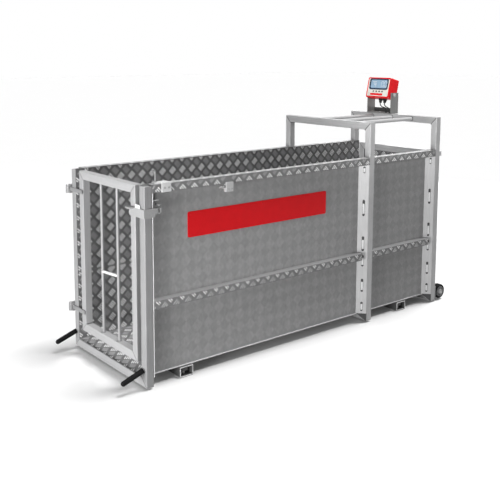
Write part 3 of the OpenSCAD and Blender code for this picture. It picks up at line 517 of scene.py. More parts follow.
def metal(name, colour, stretch, metallic=0.12, rough=(0.36, 0.54), contrast=0.16, patches=9.0):
    """Bare metal: drawn lines, patches and polished edges, whose lighter colour is also a painted highlight.
    """
    made, tree, shader = start_material(name, Metallic=metallic, Specular_IOR_Level=0.2)
    grain = use_group(tree, "Drawn grain", Stretch=stretch)
    cloud = use_group(tree, "Cloudy patches", Size=patches)
    edge_wear_and_sheen = use_group(tree, "Worn edges", Radius=METAL_EDGE_WEAR_SHEEN)
    cloud_share, cloud_tone, edge_wear_sheen_share, edge_wear_sheen_tone, relief, deep = 0.35, 0.78, 0.7, 1.55, 0.12, 0.0004
    lines = mix_colour(tree, grain["Shade"], rgba(colour, 1 - contrast), rgba(colour, 1 + contrast))
    clouded = mix_colour(tree, times(tree, cloud["Shade"], cloud_share), lines, rgba(colour, cloud_tone))
    # Corners lighter: wear and a painted highlight.
    worn_and_sheened = mix_colour(tree, times(tree, edge_wear_and_sheen["Mask"], edge_wear_sheen_share), clouded, rgba(colour, edge_wear_sheen_tone))
    gloss = spread(tree, grain["Shade"], 0.0, 1.0, *rough)
    surface(tree, shader, worn_and_sheened, gloss, grain["Height"], relief, deep)
    return made


def sheet_metal(name, axes, inner, outer, fold, lift=1.0):
    """Tread sheet: dark ground inside that carries painted shade of the crate's inside, plain face outside
    with the pattern showing through, bright folds with a painted highlight on their upward faces. axes names
    the sheet's own two ways and the way through it; inner, outer and fold are its limits along that way; lift
    brightens the ground."""
    metals, tread = bpy.context.scene.crate_metal, bpy.context.scene.crate_tread
    made, tree, shader = start_material(name, Metallic=0.05, Specular_IOR_Level=0.12)
    where = node(tree, "SeparateXYZ", {0: object_place(tree)}).outputs
    depth = math_node(tree, "ABSOLUTE", where[axes[2]])
    prints = use_group(tree, "Tread print", Along=where[axes[0]], Up=where[axes[1]], Cell=tread.cell)
    cloud = use_group(tree, "Cloudy patches", Size=14.0)
    streaks = use_group(tree, "Drawn grain", Stretch=(90, 90, 14))
    flecks = use_group(tree, "Drawn grain", Stretch=(70, 70, 45))
    edge_wear_and_sheen = use_group(tree, "Worn edges", Radius=METAL_EDGE_WEAR_SHEEN)

    def between(factor, colour, low, high):
        return mix_colour(tree, factor, rgba(colour, low), rgba(colour, high))

    def veil(mask, share, under, tone):
        return mix_colour(tree, times(tree, mask, share), under, rgba(metals.sheet_colour, tone))

    # Ground inside the crate, dark: the tread's ground with painted shade of the crate's inside.
    ground = between(cloud["Shade"], metals.inside_shaded_colour, 0.8 * lift, 1.2 * lift)
    mottle = weighed(tree, streaks["Shade"], 0.6, cloud["Shade"], 0.4)
    plain = between(mottle, metals.sheet_colour, 0.82, 1.14)
    plain = veil(prints["Mask"], 0.14, plain, 1.5)
    plain = veil(flecks["Shade"], 0.50, plain, 0.55)
    plain = veil(times(tree, prints["Row"], streaks["Shade"]), 0.50, plain, 0.55)
    folded = between(cloud["Shade"], metals.fold_colour, 0.9, 1.12)
    # Upward faces of the folds take a lighter colour: a painted highlight of the light from above.
    painted_top_light = math_node(tree, "GREATER_THAN", looks_up(tree), 0.7)
    folded = mix_colour(tree, painted_top_light, folded, rgba(metals.sheet_colour, 0.85))
    outside = math_node(tree, "GREATER_THAN", depth, (inner + outer) / 2)
    on_fold = math_node(tree, "GREATER_THAN", depth, fold)
    colour = mix_colour(tree, on_fold, mix_colour(tree, outside, ground, plain), folded)
    # Corners lighter: wear and a painted highlight.
    colour = mix_colour(tree, times(tree, edge_wear_and_sheen["Mask"], 0.6), colour, (0.75, 0.75, 0.75, 1))
    rough = spread(tree, streaks["Shade"], 0.0, 1.0, 0.38, 0.55)
    surface(tree, shader, colour, rough, prints["Mask"], 0.10, 0.0006)
    return made


def plastic(name, colour, rough=(0.32, 0.45), pebble=900.0, relief=0.08, dust=0.25, gloss=0.3, cloudy=0.11):
    """Moulded plastic or rubber with a fine pebble, polished edges that also carry a painted highlight, and a
    little dust.
    """
    made, tree, shader = start_material(name, Specular_IOR_Level=gloss)
    cloud = use_group(tree, "Cloudy patches", Size=22.0)
    edge_wear_and_sheen = use_group(tree, "Worn edges", Radius=PLASTIC_EDGE_WEAR_SHEEN)
    lies = use_group(tree, "Settled dust", Amount=dust)
    grains = node(tree, "TexVoronoi", {"Vector": object_place(tree), "Scale": pebble}).outputs["Distance"]
    edge_wear_sheen_share, deep = 0.6, 0.0003
    polished, dusty = rgba([c * 1.15 + 0.03 for c in colour]), rgba([c * 0.75 + 0.12 for c in colour])
    body = mix_colour(tree, cloud["Shade"], rgba(colour, 1 - cloudy), rgba(colour, 1 + cloudy))
    # Corners lighter: wear and a painted highlight.
    body = mix_colour(tree, times(tree, edge_wear_and_sheen["Mask"], edge_wear_sheen_share), body, polished)
    body = mix_colour(tree, lies["Mask"], body, dusty)
    surface(tree, shader, body, spread(tree, cloud["Shade"], 0.0, 1.0, *rough), grains, relief, deep)
    return made


def finishes():
    """All finishes of the crate by name, made once."""
    found = {m.name: m for m in bpy.data.materials if m.get("crate_finish")}
    if found:
        return found
    metals, trim = bpy.context.scene.crate_metal, bpy.context.scene.crate_trim
    # How often the grain repeats along each way of the metal
    upright, across, along = (260, 260, 5), (260, 5, 260), (5, 260, 260)
    rolled, ribbed = (120, 120, 120), (90, 90, 90)
    made = [
        metal("tube_upright", metals.tube_colour, upright),
        metal("tube_across", metals.tube_colour, across),
        metal("rail_along", metals.arch_lit_colour, along),
        metal("door_upright", metals.door_lit_colour, upright),
        # The door's rails and the gate's rails are lighter copies and the top beams a darker copy of their
        # uprights' metal: painted light and shade.
        metal("door_across", toned(metals.door_lit_colour, 1.1), across),
        metal("arch_upright", metals.arch_lit_colour, upright),
        metal("arch_across", toned(metals.arch_lit_colour, 0.85), across),
        metal("gate_across", toned(metals.arch_lit_colour, 1.05), across),
        metal("hinge_metal", metals.hinge_colour, rolled, contrast=0.1),
        # Near-black finish of painted shade and shadow: in the slots, under the plates' feet and at the
        # bracket's back.
        metal("slot_dark", toned(metals.inside_shaded_colour, 0.5), rolled, contrast=0.1),
        metal("bright_fold", toned(metals.plate_colour, 1.3), rolled, contrast=0.08),
        metal("polished_plate", metals.plate_colour, (200, 200, 12), contrast=0.12, rough=(0.28, 0.4)),
        metal("strap_metal", toned(metals.plate_colour, 0.62), rolled, contrast=0.1),
        metal("zinc_bright", metals.bright_colour, (160, 160, 160), metallic=0.35, rough=(0.25, 0.4)),
        metal("bar_grey", toned(metals.bright_colour, 0.3), across),
        metal("bracket_brushed", metals.bracket_colour, (320, 320, 8), metallic=0.3, rough=(0.28, 0.42)),
        metal("weld_metal", toned(metals.tube_colour, 0.38), (400, 400, 400), rough=(0.3, 0.6),
              contrast=0.35, patches=120.0),
        sheet_metal("wall_sheet", "XZY", WALL_IN, WALL_OUT, WALL_OUT + SHEET / 2),
        sheet_metal("gate_sheet", "YZX", GATE_LOW.x, GATE_HIGH.x, GATE_HIGH.x + SHEET),
        sheet_metal("floor_sheet", "XYZ", FLOOR_LOW.z, FLOOR_HIGH.z + TUBE, FLOOR_HIGH.z + TUBE, 1.1),
        plastic("sign_film", trim.sign_colour, rough=(0.3, 0.36), pebble=1500.0, relief=0.03, dust=0.0,
                gloss=0.15, cloudy=0.05),
        plastic("shell_plastic", trim.shell_colour, dust=0.0, gloss=0.15),
        plastic("panel_plastic", trim.panel_colour, rough=(0.4, 0.5), dust=0.05),
        plastic("bezel_plastic", trim.bezel_colour, rough=(0.2, 0.3), dust=0.05),
        plastic("screen_ground", trim.screen_colour, rough=(0.12, 0.2), pebble=2500.0, relief=0.02,
                dust=0.0, gloss=0.5),
        plastic("digit_light", trim.digit_colour, rough=(0.2, 0.3), dust=0.0),
        plastic("board_laminate", (0.02, 0.12, 0.05), rough=(0.35, 0.5)),
        plastic("dark_plastic", (0.016, 0.016, 0.017), rough=(0.35, 0.5)),
        plastic("grip_skin", trim.rubber_colour, rough=(0.45, 0.62), pebble=700.0, relief=0.2, dust=0.02,
                gloss=0.1),
        plastic("tyre_skin", trim.rubber_colour, rough=(0.55, 0.75), pebble=600.0, relief=0.25, dust=0.03,
                gloss=0.1),
        plastic("hub_grey", trim.hub_colour, rough=(0.4, 0.55), dust=0.3),
    ]
    # Each rib finish comes as a lit copy and a darker copy of painted shade, for the ribs of the two ways.
    rows = (("rib_inside", metals.rib_colour, 1.0), ("rib_fold", metals.fold_rib_colour, 1.3))
    for name, colour, lift in rows:
        shaded_rows_colour = toned(colour, metals.shaded_row_share * lift)
        made.append(metal(name, colour, ribbed, rough=(0.28, 0.42), patches=18.0))
        made.append(metal(name + "_dull", shaded_rows_colour, ribbed, rough=(0.36, 0.5), patches=18.0))
    for material in made:
        material["crate_finish"] = True
    return {m.name: m for m in made}


NODE_FINISH = {
    "tube_upright": ["front_posts", "post_caps", "wheel_brackets", "door_bars"],
    "tube_across": ["bolt_guides"],
    "bar_grey": ["load_bars", "load_cells"],
    "door_upright": ["door_stiles", "foot_tubes"],
    "door_across": ["door_rails"],
    "arch_upright": ["portal_posts", "rear_posts", "gate_stiles"],
    "arch_across": ["top_beams"],
    "gate_across": ["gate_rails"],
    "rail_along": ["roof_rails", "handle_bars"],
    "polished_plate": ["slotted_plates", "lip_clamp"],
    "strap_metal": ["latch_strap"],
    "hinge_metal": ["door_hinge_straps", "gate_hinge_straps", "hinge_lugs", "drop_rod"],
    "bright_fold": ["rod_guides", "door_cross_bar", "bolt_keeper"],
    "zinc_bright": ["hinge_pins", "gate_bolt", "clamp_stud", "clamp_screws", "guide_screws",
                    "bracket_screws", "sign_rivets", "load_feet", "wheel_axles", "pivot_knobs"],
    "bracket_brushed": ["indicator_bracket"],
    "wall_sheet": ["upper_walls", "lower_walls"],
    "gate_sheet": ["gate_panel"],
    "floor_sheet": ["floor_plate"],
    "sign_film": ["sign_plate"],
    "shell_plastic": ["indicator_housing"],
    "panel_plastic": ["front_panel"],
    "screen_ground": ["display"],
    "board_laminate": ["circuit_board"],
    "dark_plastic": ["battery_pack", "cable_glands", "cable_entries", "leads",
                     "key_1", "key_2", "key_3", "key_4"],
    "grip_skin": ["handle_grips"],
    "tyre_skin": ["near_wheel_tyre", "far_wheel_tyre"],
    "hub_grey": ["near_wheel_hub", "far_wheel_hub"],
}


# Operators

def aim(made, place, ahead):
    """Puts a camera or lamp at a place, looking ahead."""
    made.location = place
    made.rotation_mode = "QUATERNION"
    made.rotation_quaternion = ahead.to_track_quat("-Z", "Y")


class CRATE_OT_camera(bpy.types.Operator):
    """Sets the camera at the photograph's viewing angle"""
    bl_idname = "crate.camera"
    bl_label = "Camera"

    def execute(self, context):
        stage = context.scene.crate_stage
        lens = bpy.data.cameras.new("view")
        lens.lens, lens.sensor_width = stage.lens, 36.0
        lens.shift_x, lens.shift_y = stage.shift_x, stage.shift_y
        lens.clip_end = 100.0
        view = bpy.data.objects.new("view", lens)
        context.scene.collection.objects.link(view)
        fall = math.cos(stage.pitch)
        ahead = Vector((math.sin(stage.yaw) * fall, math.cos(stage.yaw) * fall, -math.sin(stage.pitch)))
        aim(view, stage.camera_place, ahead)
        context.scene.camera = view
        return {"FINISHED"}


def indicator_place(settings):
    return Matrix.Translation(PIVOT) @ Matrix.Rotation(settings.tilt, 4, "Y")


# A gland's forms, in shares of its radius and its height; its nut also has the rounding of its corners
GLAND_NOSE = ((0.72, 0.0), (0.93, 0.10), (1.0, 0.26), (1.0, 0.42), (0.93, 0.46), (0.93, 0.52))
GLAND_NUT = ((0.9, 0.3, 0.50), (1.0, 1.0, 0.56), (1.0, 1.0, 0.78), (0.9, 0.3, 0.84))
GLAND_COLLAR = ((0.98, 0.82), (1.0, 0.86), (1.0, 0.995), (0.9, 1.0))


class CRATE_OT_leads(bpy.types.Operator):
    """Makes the two leads from the indicator's glands to the bracket's base, with their glands"""
    bl_idname = "crate.leads"
    bl_label = "Leads and glands"

    def execute(self, context):
        look, case = finishes(), context.scene.crate_indicator
        place = indicator_place(case)
        entry_low, entry_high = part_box("cable_entries")
        entry = (entry_high.x - entry_low.x) / 2
        radius, bend, arc_steps = case.lead_diameter / 2, case.lead_bend, 12
        behind_front, tall, collar = 0.034, 0.026, 0.027 / 2
        nose, flats = collar * 0.7, 2 * collar * 0.9
        # Each gland's place across the housing, as a share of its width, and its lead's entry
        routes = ((-0.03, entry_high.y - entry), (-0.22, entry_low.y + entry))
        glands = bmesh.new()
        for n, (at, entry_y) in enumerate(routes, 1):
            spot = (behind_front - case.ahead, at * case.width, -case.below - tall)
            foot = place @ Matrix.Translation(spot)
            lathe(glands, [(radius * 1.05, 0.0)] + scaled(GLAND_NOSE, nose, tall), foot)
            hex_prism(glands, foot, [(flats * s, turn, h * tall) for s, turn, h in GLAND_NUT])
            lathe(glands, scaled(GLAND_COLLAR, collar, tall), foot)
            start = foot @ Vector((0, 0, 0.0003))
            bend_from = foot @ Vector((0, 0, -radius))
            goal = Vector(((entry_low.x + entry_high.x) / 2, entry_y, entry_high.z - 0.0005))
            across = Vector((goal.x - bend_from.x, goal.y - bend_from.y, 0))
            side = across.normalized()
            turn = math.acos(1 - across.length / (2 * bend))
            angles = [turn * k / arc_steps for k in range(1, arc_steps + 1)]
            arc = [(bend * (1 - math.cos(a)), bend * math.sin(a)) for a in angles]
            over, down = arc[-1]
            arc += [(2 * over - a, 2 * down - b) for a, b in arc[-2::-1]]
            points = [start, bend_from] + [bend_from + side * a - Vector((0, 0, b)) for a, b in arc]
            points += [bend_from + across - Vector((0, 0, 2 * down)), goal]
            bm = bmesh.new()
            tube_along(bm, points, [radius] * len(points), 14)
            lead = piece("lead_%d" % n, bm, look["dark_plastic"], None)
            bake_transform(lead)
            if n == 1:
                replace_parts(lead, "leads")
        made = piece("gland_nuts", glands, look["dark_plastic"], "indicator")
        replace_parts(made, "cable_glands")
        return {"FINISHED"}


class CRATE_OT_finishes(bpy.types.Operator):
    """Gives every solid of the crate its finish"""
    bl_idname = "crate.finishes"
    bl_label = "Finishes"

    def execute(self, context):
        look = finishes()
        left = set(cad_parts)
        for finish, names in NODE_FINISH.items():
            for name in names:
                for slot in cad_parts[name].material_slots:
                    slot.link = "OBJECT"
                    slot.material = look[finish]
                left.discard(name)
        if left:
            raise RuntimeError("no finish for " + ", ".join(sorted(left)))
        return {"FINISHED"}


def rib_field(name, corner, along, up, length, width, lit_and_shaded_rows, body="crate", shift=(0.0, 0.0),
              bare=(0.0, 0.0)):
    """Ribs of a tread sheet over a rectangle, in diamonds whose ribs run one way and the other by turns.
    lit_and_shaded_rows are the finishes of the ribs of one way, a lit copy, and of the other way, a copy with
    painted shade; bare is a stretch along the sheet that a fitting covers."""
    tread = bpy.context.scene.crate_tread
    along, up = np.array(along, float), np.array(up, float)
    out = np.cross(along, up)
    margin, shortest = 0.9, 1.6 * tread.width
    cell, half, pitch = tread.cell, tread.cell * tread.length_share / 2, tread.cell / (tread.ribs + margin)
    root = math.sqrt(0.5)
    reach = int((length + width) * root / cell) + 2
    cells = np.arange(-reach, reach + 1)
    i, j, k = (n.ravel() for n in np.meshgrid(cells, cells, np.arange(tread.ribs), indexing="ij"))
    offset = (k - (tread.ribs - 1) / 2) * pitch
    even = (i + j) % 2 == 0
    p = (i + 0.5) * cell + np.where(even, 0.0, offset)
    q = (j + 0.5) * cell + np.where(even, offset, 0.0)
    u, v = (p - q) * root + shift[0], (p + q) * root + shift[1]
    du, dv = np.where(even, root, -root), np.full(len(u), root)
    foot, crest, slope = tread.width / 2, tread.width * 0.22, tread.width * 0.7
    sink, rise = -0.1 * tread.width, tread.height
    first, last = np.full(len(u), -half), np.full(len(u), half)
    for c, d, size in ((u, du, length), (v, dv, width)):
        a, b = (foot - c) / d, (size - foot - c) / d
        first = np.maximum(first, np.minimum(a, b))
        last = np.minimum(last, np.maximum(a, b))
    keep = (last - first > shortest) & ((u < bare[0]) | (u > bare[1]))
    u, v, du, dv, first, last = (x[keep] for x in (u, v, du, dv, first, last))
    verts = np.empty((len(u), 8, 3))
    base = np.array(corner, float)
    ring = ((0, -1), (1, -1), (1, 1), (0, 1))
    corners = [(end, way * foot, sink, 0) for end, way in ring]
    corners += [(end, way * crest, rise, 1) for end, way in ring]
    for n, (end, side, lift, inset) in enumerate(corners):
        t = last - slope * inset if end else first + slope * inset
        uu, vv = u + du * t - dv * side, v + dv * t + du * side
        verts[:, n] = base + uu[:, None] * along + vv[:, None] * up + lift * out
    faces = np.array(BOX_FACES)
    all_faces = (faces[None] + 8 * np.arange(len(u))[:, None, None]).reshape(-1, 4)
    mesh = bpy.data.meshes.new(name)
    mesh.from_pydata(verts.reshape(-1, 3).tolist(), [], all_faces.tolist())
    for finish in lit_and_shaded_rows:
        mesh.materials.append(finish)
    # Diamonds of one way take the lit finish, the others the copy with painted shade.
    mesh.polygons.foreach_set("material_index", np.repeat(even[keep].astype(np.int32), len(faces)))
    made = bpy.data.objects.new(name, mesh)
    bpy.context.scene.collection.objects.link(made)
    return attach(made, body)


class CRATE_OT_tread(bpy.types.Operator):
    """Raises the ribs of the tread pattern on walls, floor, gate, lips and bands"""
    bl_idname = "crate.tread"
    bl_label = "Tread ribs"

    def execute(self, context):
        look, tread = finishes(), context.scene.crate_tread
        inside = look["rib_inside"], look["rib_inside_dull"]
        fold = look["rib_fold"], look["rib_fold_dull"]
        clamp_low, clamp_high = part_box("lip_clamp")
        lip_start, band_foot = 0.004, LOWER_HIGH.z - tread.band_drop
        for side, word in SIDES:
            for low, high, level in ((LOWER_LOW, LOWER_HIGH, "lower"), (UPPER_LOW, UPPER_HIGH, "upper")):
                start = UPPER_LOW.x if side > 0 else UPPER_HIGH.x
                rib_field("ribs_%s_%s" % (word, level), (start, side * WALL_IN, low.z), (side, 0, 0), UP,
                          UPPER_HIGH.x - UPPER_LOW.x, high.z - low.z, inside, shift=tread.wall_offset)
            bays = ((FRONT_HIGH.x, PORTAL_LOW.x), (PORTAL_HIGH.x, REAR_LOW.x))
            for n, (a, b) in enumerate(bays, 1):
                start = a if side < 0 else b
                bare = (clamp_low.x - a, clamp_high.x - a) if side < 0 else (0.0, 0.0)
                rib_field("ribs_%s_lip_%d" % (word, n), (start, side * HALF, LIP_LOW), (-side, 0, 0), UP,
                          b - a, UPPER_HIGH.z - LIP_LOW, fold, shift=(0.0, lip_start), bare=bare)
                start = WALL_OUT if side > 0 else -HALF
                rib_field("ribs_%s_lip_top_%d" % (word, n), (a, start, UPPER_HIGH.z), ALONG, ACROSS,
                          b - a, HALF - WALL_OUT, fold)
                end = b - (PORTAL_LOW.x - PLATE_LOW.x)
                start = a if side < 0 else end
                rib_field("ribs_%s_band_%d" % (word, n), (start, side * HALF, band_foot), (-side, 0, 0), UP,
                          end - a, tread.band_drop, fold, shift=(0.0, tread.band_drop))
        # The floor's ribs take the lit and the painted-shade finish the other way round.
        rib_field("ribs_floor", (FLOOR_LOW.x, -WALL_IN, FLOOR_HIGH.z), ALONG, ACROSS,
                  FLOOR_HIGH.x - FLOOR_LOW.x, 2 * WALL_IN, inside[::-1])
        rib_field("ribs_gate", (GATE_LOW.x, GATE_HIGH.y, GATE_LOW.z), (0, -1, 0), UP,
                  GATE_HIGH.y - GATE_LOW.y, GATE_HIGH.z - GATE_LOW.z, inside, "rear_gate")
        return {"FINISHED"}


class CRATE_OT_bends(bpy.types.Operator):
    """Rounds the sheets' bends along the walls' feet and front edges, and the rims of the load bars"""
    bl_idname = "crate.bends"
    bl_label = "Sheet bends"

    def execute(self, context):
        look, bm = finishes(), bmesh.new()
        foot_bend, front_bend, steps = SHEET * 1.6, SHEET * 1.1, 16
        for side in (-1, 1):
            for a, b in ((FRONT_HIGH.x, PORTAL_LOW.x - TUBE), (PORTAL_HIGH.x, REAR_LOW.x - TUBE)):
                ends = [Vector((x, side * WALL_OUT, FLOOR_HIGH.z - SHEET)) for x in (a, b)]
                tube_along(bm, ends, [foot_bend] * 2, steps)
            x, y = FRONT_HIGH.x + 1.3 * SHEET, side * (HALF - SHEET / 2)
            ends = [Vector((x, y, z)) for z in (LOWER_LOW.z, LIP_LOW)]
            tube_along(bm, ends, [front_bend] * 2, steps)
        # The bends take the bright finish, far lighter than the sheet: real bends with a painted highlight
        # along them.
        piece("sheet_bends", bm, look["bright_fold"], "crate")
        bm = bmesh.new()
        tall, wide, wall = LOAD_HIGH.z - LOAD_LOW.z, TUBE * 1.8, SHEET * 2
        middle = (LOAD_LOW.z + LOAD_HIGH.z) / 2
        outer = (wide + SHEET, tall + SHEET, SHEET, middle)
        inner = (wide - wall, tall - wall, SHEET / 2, middle)
        for x in (LOAD_LOW.x + wide / 2, LOAD_HIGH.x - wide / 2):
            for side in (-1, 1):
                turn = Matrix.Rotation(-side * math.pi / 2, 4, "Z")
                rounded_frame(bm, Matrix.Translation((x, side * LOAD_HIGH.y, 0)) @ turn, outer, inner,
                              SHEET, -SHEET / 2)
        # The rims take the bright finish, far lighter than the bars: real rims with a painted highlight on
        # the ends' edges.
        piece("bar_rims", bm, look["bright_fold"], "crate")
        return {"FINISHED"}


# Slots of a plate as shares of its height from the top, and the part of a slot that its tab fills
SLOTS = ((0.010, 0.055), (0.23, 0.34), (0.475, 0.575), (0.60, 0.68), (0.762, 0.853), (0.92, 0.985))
TAB_PART = (0.25, 0.86)


class CRATE_OT_slot_tabs(bpy.types.Operator):
    """Puts dark backs of painted shade and bright tabs behind the slots of the slotted plates, and fills the
    plates' feet with dark triangles of painted shadow
    """
    bl_idname = "crate.slot_tabs"
    bl_label = "Slot tabs"

    def execute(self, context):
        look, ease, proud = finishes(), 0.0004, 0.0001
        height, half, back_half, past = PLATE_HIGH.z - PLATE_LOW.z, TUBE * 0.135, TUBE * 0.3, TUBE * 0.1
        long, foot_top, foot_low = TUBE / math.sqrt(2), PLATE_LOW.z - SHEET / 2, LOAD_LOW.z + SHEET
        tabs, backs = bmesh.new(), bmesh.new()
        for front in (PORTAL_LOW.x, REAR_LOW.x):
            for side in (-1, 1):
                middle = Vector((front - TUBE / 2, side * (HALF - TUBE / 2), 0))
                turn = math.atan2(side, -1) - math.pi / 2
                place = Matrix.Translation(middle) @ Matrix.Rotation(turn, 4, "Z")
                for top, foot in SLOTS:
                    z_top, z_low = (PLATE_HIGH.z - height * (top + (foot - top) * part) for part in TAB_PART)
                    block(tabs, (-half, -SHEET / 2, z_low), (half, SHEET / 2, z_top), ease, place)
                    # Dark back behind each slot, past its tab at the ends and sides: painted shade in the
                    # slot.
                    z_top = PLATE_HIGH.z - max(height * top - past, SHEET)
                    z_low = PLATE_HIGH.z - min(height * foot + past, height - SHEET)
                    block(backs, (-back_half, -SHEET, z_low), (back_half, proud, z_top), ease, place)
                # Dark triangle under the plate's foot: painted shadow where the foot tube lies in shade.
                outward = place @ Matrix.Diagonal((side, 1, 1, 1))
                triangle = ((-long, foot_top), (long, foot_top), (long, foot_low))
                loft(backs, [[outward @ Vector((x, y, z)) for x, z in triangle] for y in (-SHEET, SHEET / 2)])
        piece("slot_tabs", tabs, look["bright_fold"], "crate")
        piece("slot_backs", backs, look["slot_dark"], "crate")
        return {"FINISHED"}


def bead(bm, start, end, normal, radius, ripple=0.0024):
    """Weld bead on a straight seam, half sunk, with the ripples of the arc."""
    start, end = Vector(start), Vector(end)
    sunk, thin_end = 0.45, 0.45
    count = max(6, int((end - start).length / ripple * 2))
    points, radii = [], []
    for k in range(count + 1):
        points.append(start.lerp(end, k / count) - Vector(normal) * radius * sunk)
        swell = 1 + (0.14 if k % 2 else -0.10)
        radii.append(radius * swell * (thin_end if k in (0, count) else 1.0))
    tube_along(bm, points, radii, 8)


def bead_ring(bm, centre, axis, ring, radius):
    """Weld bead round the end of a bar."""
    profile = [(ring + radius * math.cos(a), radius * math.sin(a)) for a in circle(8)]
    turned_ring(bm, profile, facing(centre, axis), 28)


def mitre(bm, low, high, side, reach, z, step, radius, rim=0.004):
    """Weld beads over a mitred corner of square tubes, on its two flat faces."""
    for x, way in ((low.x, -1), (high.x, 1)):
        bead(bm, (x, side * (reach - rim), z + step * rim), (x, side * (reach - TUBE), z + step * TUBE),
             (way, 0, 0), radius)


def inner_seam(bm, low, high, side, reach, z, step, radius, end=0.003):
    """Weld bead in the inner corner where an upright meets a rail."""
    y, z = side * (reach - TUBE), z + step * TUBE
    bead(bm, (low.x + end, y, z), (high.x - end, y, z), (0, side, -step), radius)


class CRATE_OT_welds(bpy.types.Operator):
    """Lays the weld beads of the frame, the door and the gate"""
    bl_idname = "crate.welds"
    bl_label = "Weld beads"

    def execute(self, context):
        look, size = finishes(), context.scene.crate_metal.weld_size
        crate, door, gate = bmesh.new(), bmesh.new(), bmesh.new()
        fine, soft_edge = size * 0.55, 60
        for low, high in ((PORTAL_LOW, PORTAL_HIGH), (REAR_LOW, REAR_HIGH)):
            for side in (-1, 1):
                inner_seam(crate, low, high, side, HALF, BEAM_TOP, -1, size * 1.5)
                mitre(crate, low, high, side, HALF, BEAM_TOP, -1, size * 0.9)
        for low, high in ((FRONT_LOW, FRONT_HIGH), (PORTAL_LOW, PORTAL_HIGH), (REAR_LOW, REAR_HIGH)):
            for side in (-1, 1):
                mitre(crate, low, high, side, HALF, low.z, 1, fine)
        rail = (RAIL_HIGH.z - RAIL_LOW.z) / 2
        for y in (RAIL_LOW.y + rail, 0.0, RAIL_HIGH.y - rail):
            for x in (RAIL_LOW.x, RAIL_HIGH.x):
                bead_ring(crate, (x, y, RAIL_LOW.z + rail), ALONG, rail, size)
        for bm, (low, high) in ((door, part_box("door_stiles")), (gate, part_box("gate_stiles"))):
            for side in (-1, 1):
                for z, step in ((low.z, 1), (high.z, -1)):
                    mitre(bm, low, high, side, high.y, z, step, fine)
                    inner_seam(bm, low, high, side, high.y, z, step, size * 1.2)
        bar = (BAR_HIGH.x - BAR_LOW.x) / 2
        for y in (BAR_LOW.y + bar, BAR_HIGH.y - bar):
            for z in (BAR_LOW.z, BAR_HIGH.z):
                bead_ring(door, (BAR_LOW.x + bar, y, z), UP, bar, size * 0.8)
        piece("welds_crate", crate, look["weld_metal"], "crate", soft_edge)
        piece("welds_door", door, look["weld_metal"], "front_door", soft_edge)
        piece("welds_gate", gate, look["weld_metal"], "rear_gate", soft_edge)
        return {"FINISHED"}


class CRATE_OT_fasteners(bpy.types.Operator):
    """Makes the screw and rivet heads and the door's pull lip"""
    bl_idname = "crate.fasteners"
    bl_label = "Screws and rivets"

    def execute(self, context):
        look, nearward = finishes(), (0, -1, 0)
        for name, axis in (("guide_screws", nearward), ("clamp_screws", nearward), ("bracket_screws", UP)):
            low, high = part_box(name)
            deep = abs(Vector(axis).dot(high - low))
            bm = bmesh.new()
            if axis == UP:
                wide, x = high.x - low.x, (low.x + high.x) / 2
                spots = [(x, y, low.z) for y in (low.y + wide / 2, high.y - wide / 2)]
            else:
                wide, z = high.z - low.z, (low.z + high.z) / 2
                spots = [(x, high.y, z) for x in (low.x + wide / 2, high.x - wide / 2)]
            washer, flats = wide * 0.98, wide * 0.68
            for n, spot in enumerate(spots):
                hex_screw(bm, facing(spot, axis, 0.4 + n), flats, deep - washer * WASHER_SHARE, washer)
            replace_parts(piece("heads_" + name, bm, look["zinc_bright"], "crate"), name)
        top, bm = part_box("latch_strap")[1].z, bmesh.new()
        face, middle, half, tall = FRONT_LOW.x - 3.5 * SHEET, HALF - 1.2 * TUBE, TUBE / 2, TUBE * 0.42
        block(bm, (face, -middle - half, top - SHEET), (face + 1.5 * SHEET, half - middle, top + tall),
              SHEET / 4)
        piece("pull_lip", bm, look["bright_fold"], "front_door")
        low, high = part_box("sign_rivets")
        rise, reach = high.y - low.y, 0.0045
        arc = [math.radians(d) for d in range(0, 76, 15)]
        dome = [(reach * math.cos(a), rise * math.sin(a)) for a in arc]
        dome += scaled(((0.16, 0.98), (0.14, 0.8)), reach, rise)
        bm = bmesh.new()
        for x in (low.x + reach, (low.x + high.x) / 2, high.x - reach):
            for z in (low.z + reach, high.z - reach):
                lathe(bm, dome, facing((x, high.y, z), nearward), 20)
        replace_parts(piece("rivet_domes", bm, look["sign_film"], "crate"), "sign_rivets")
        return {"FINISHED"}


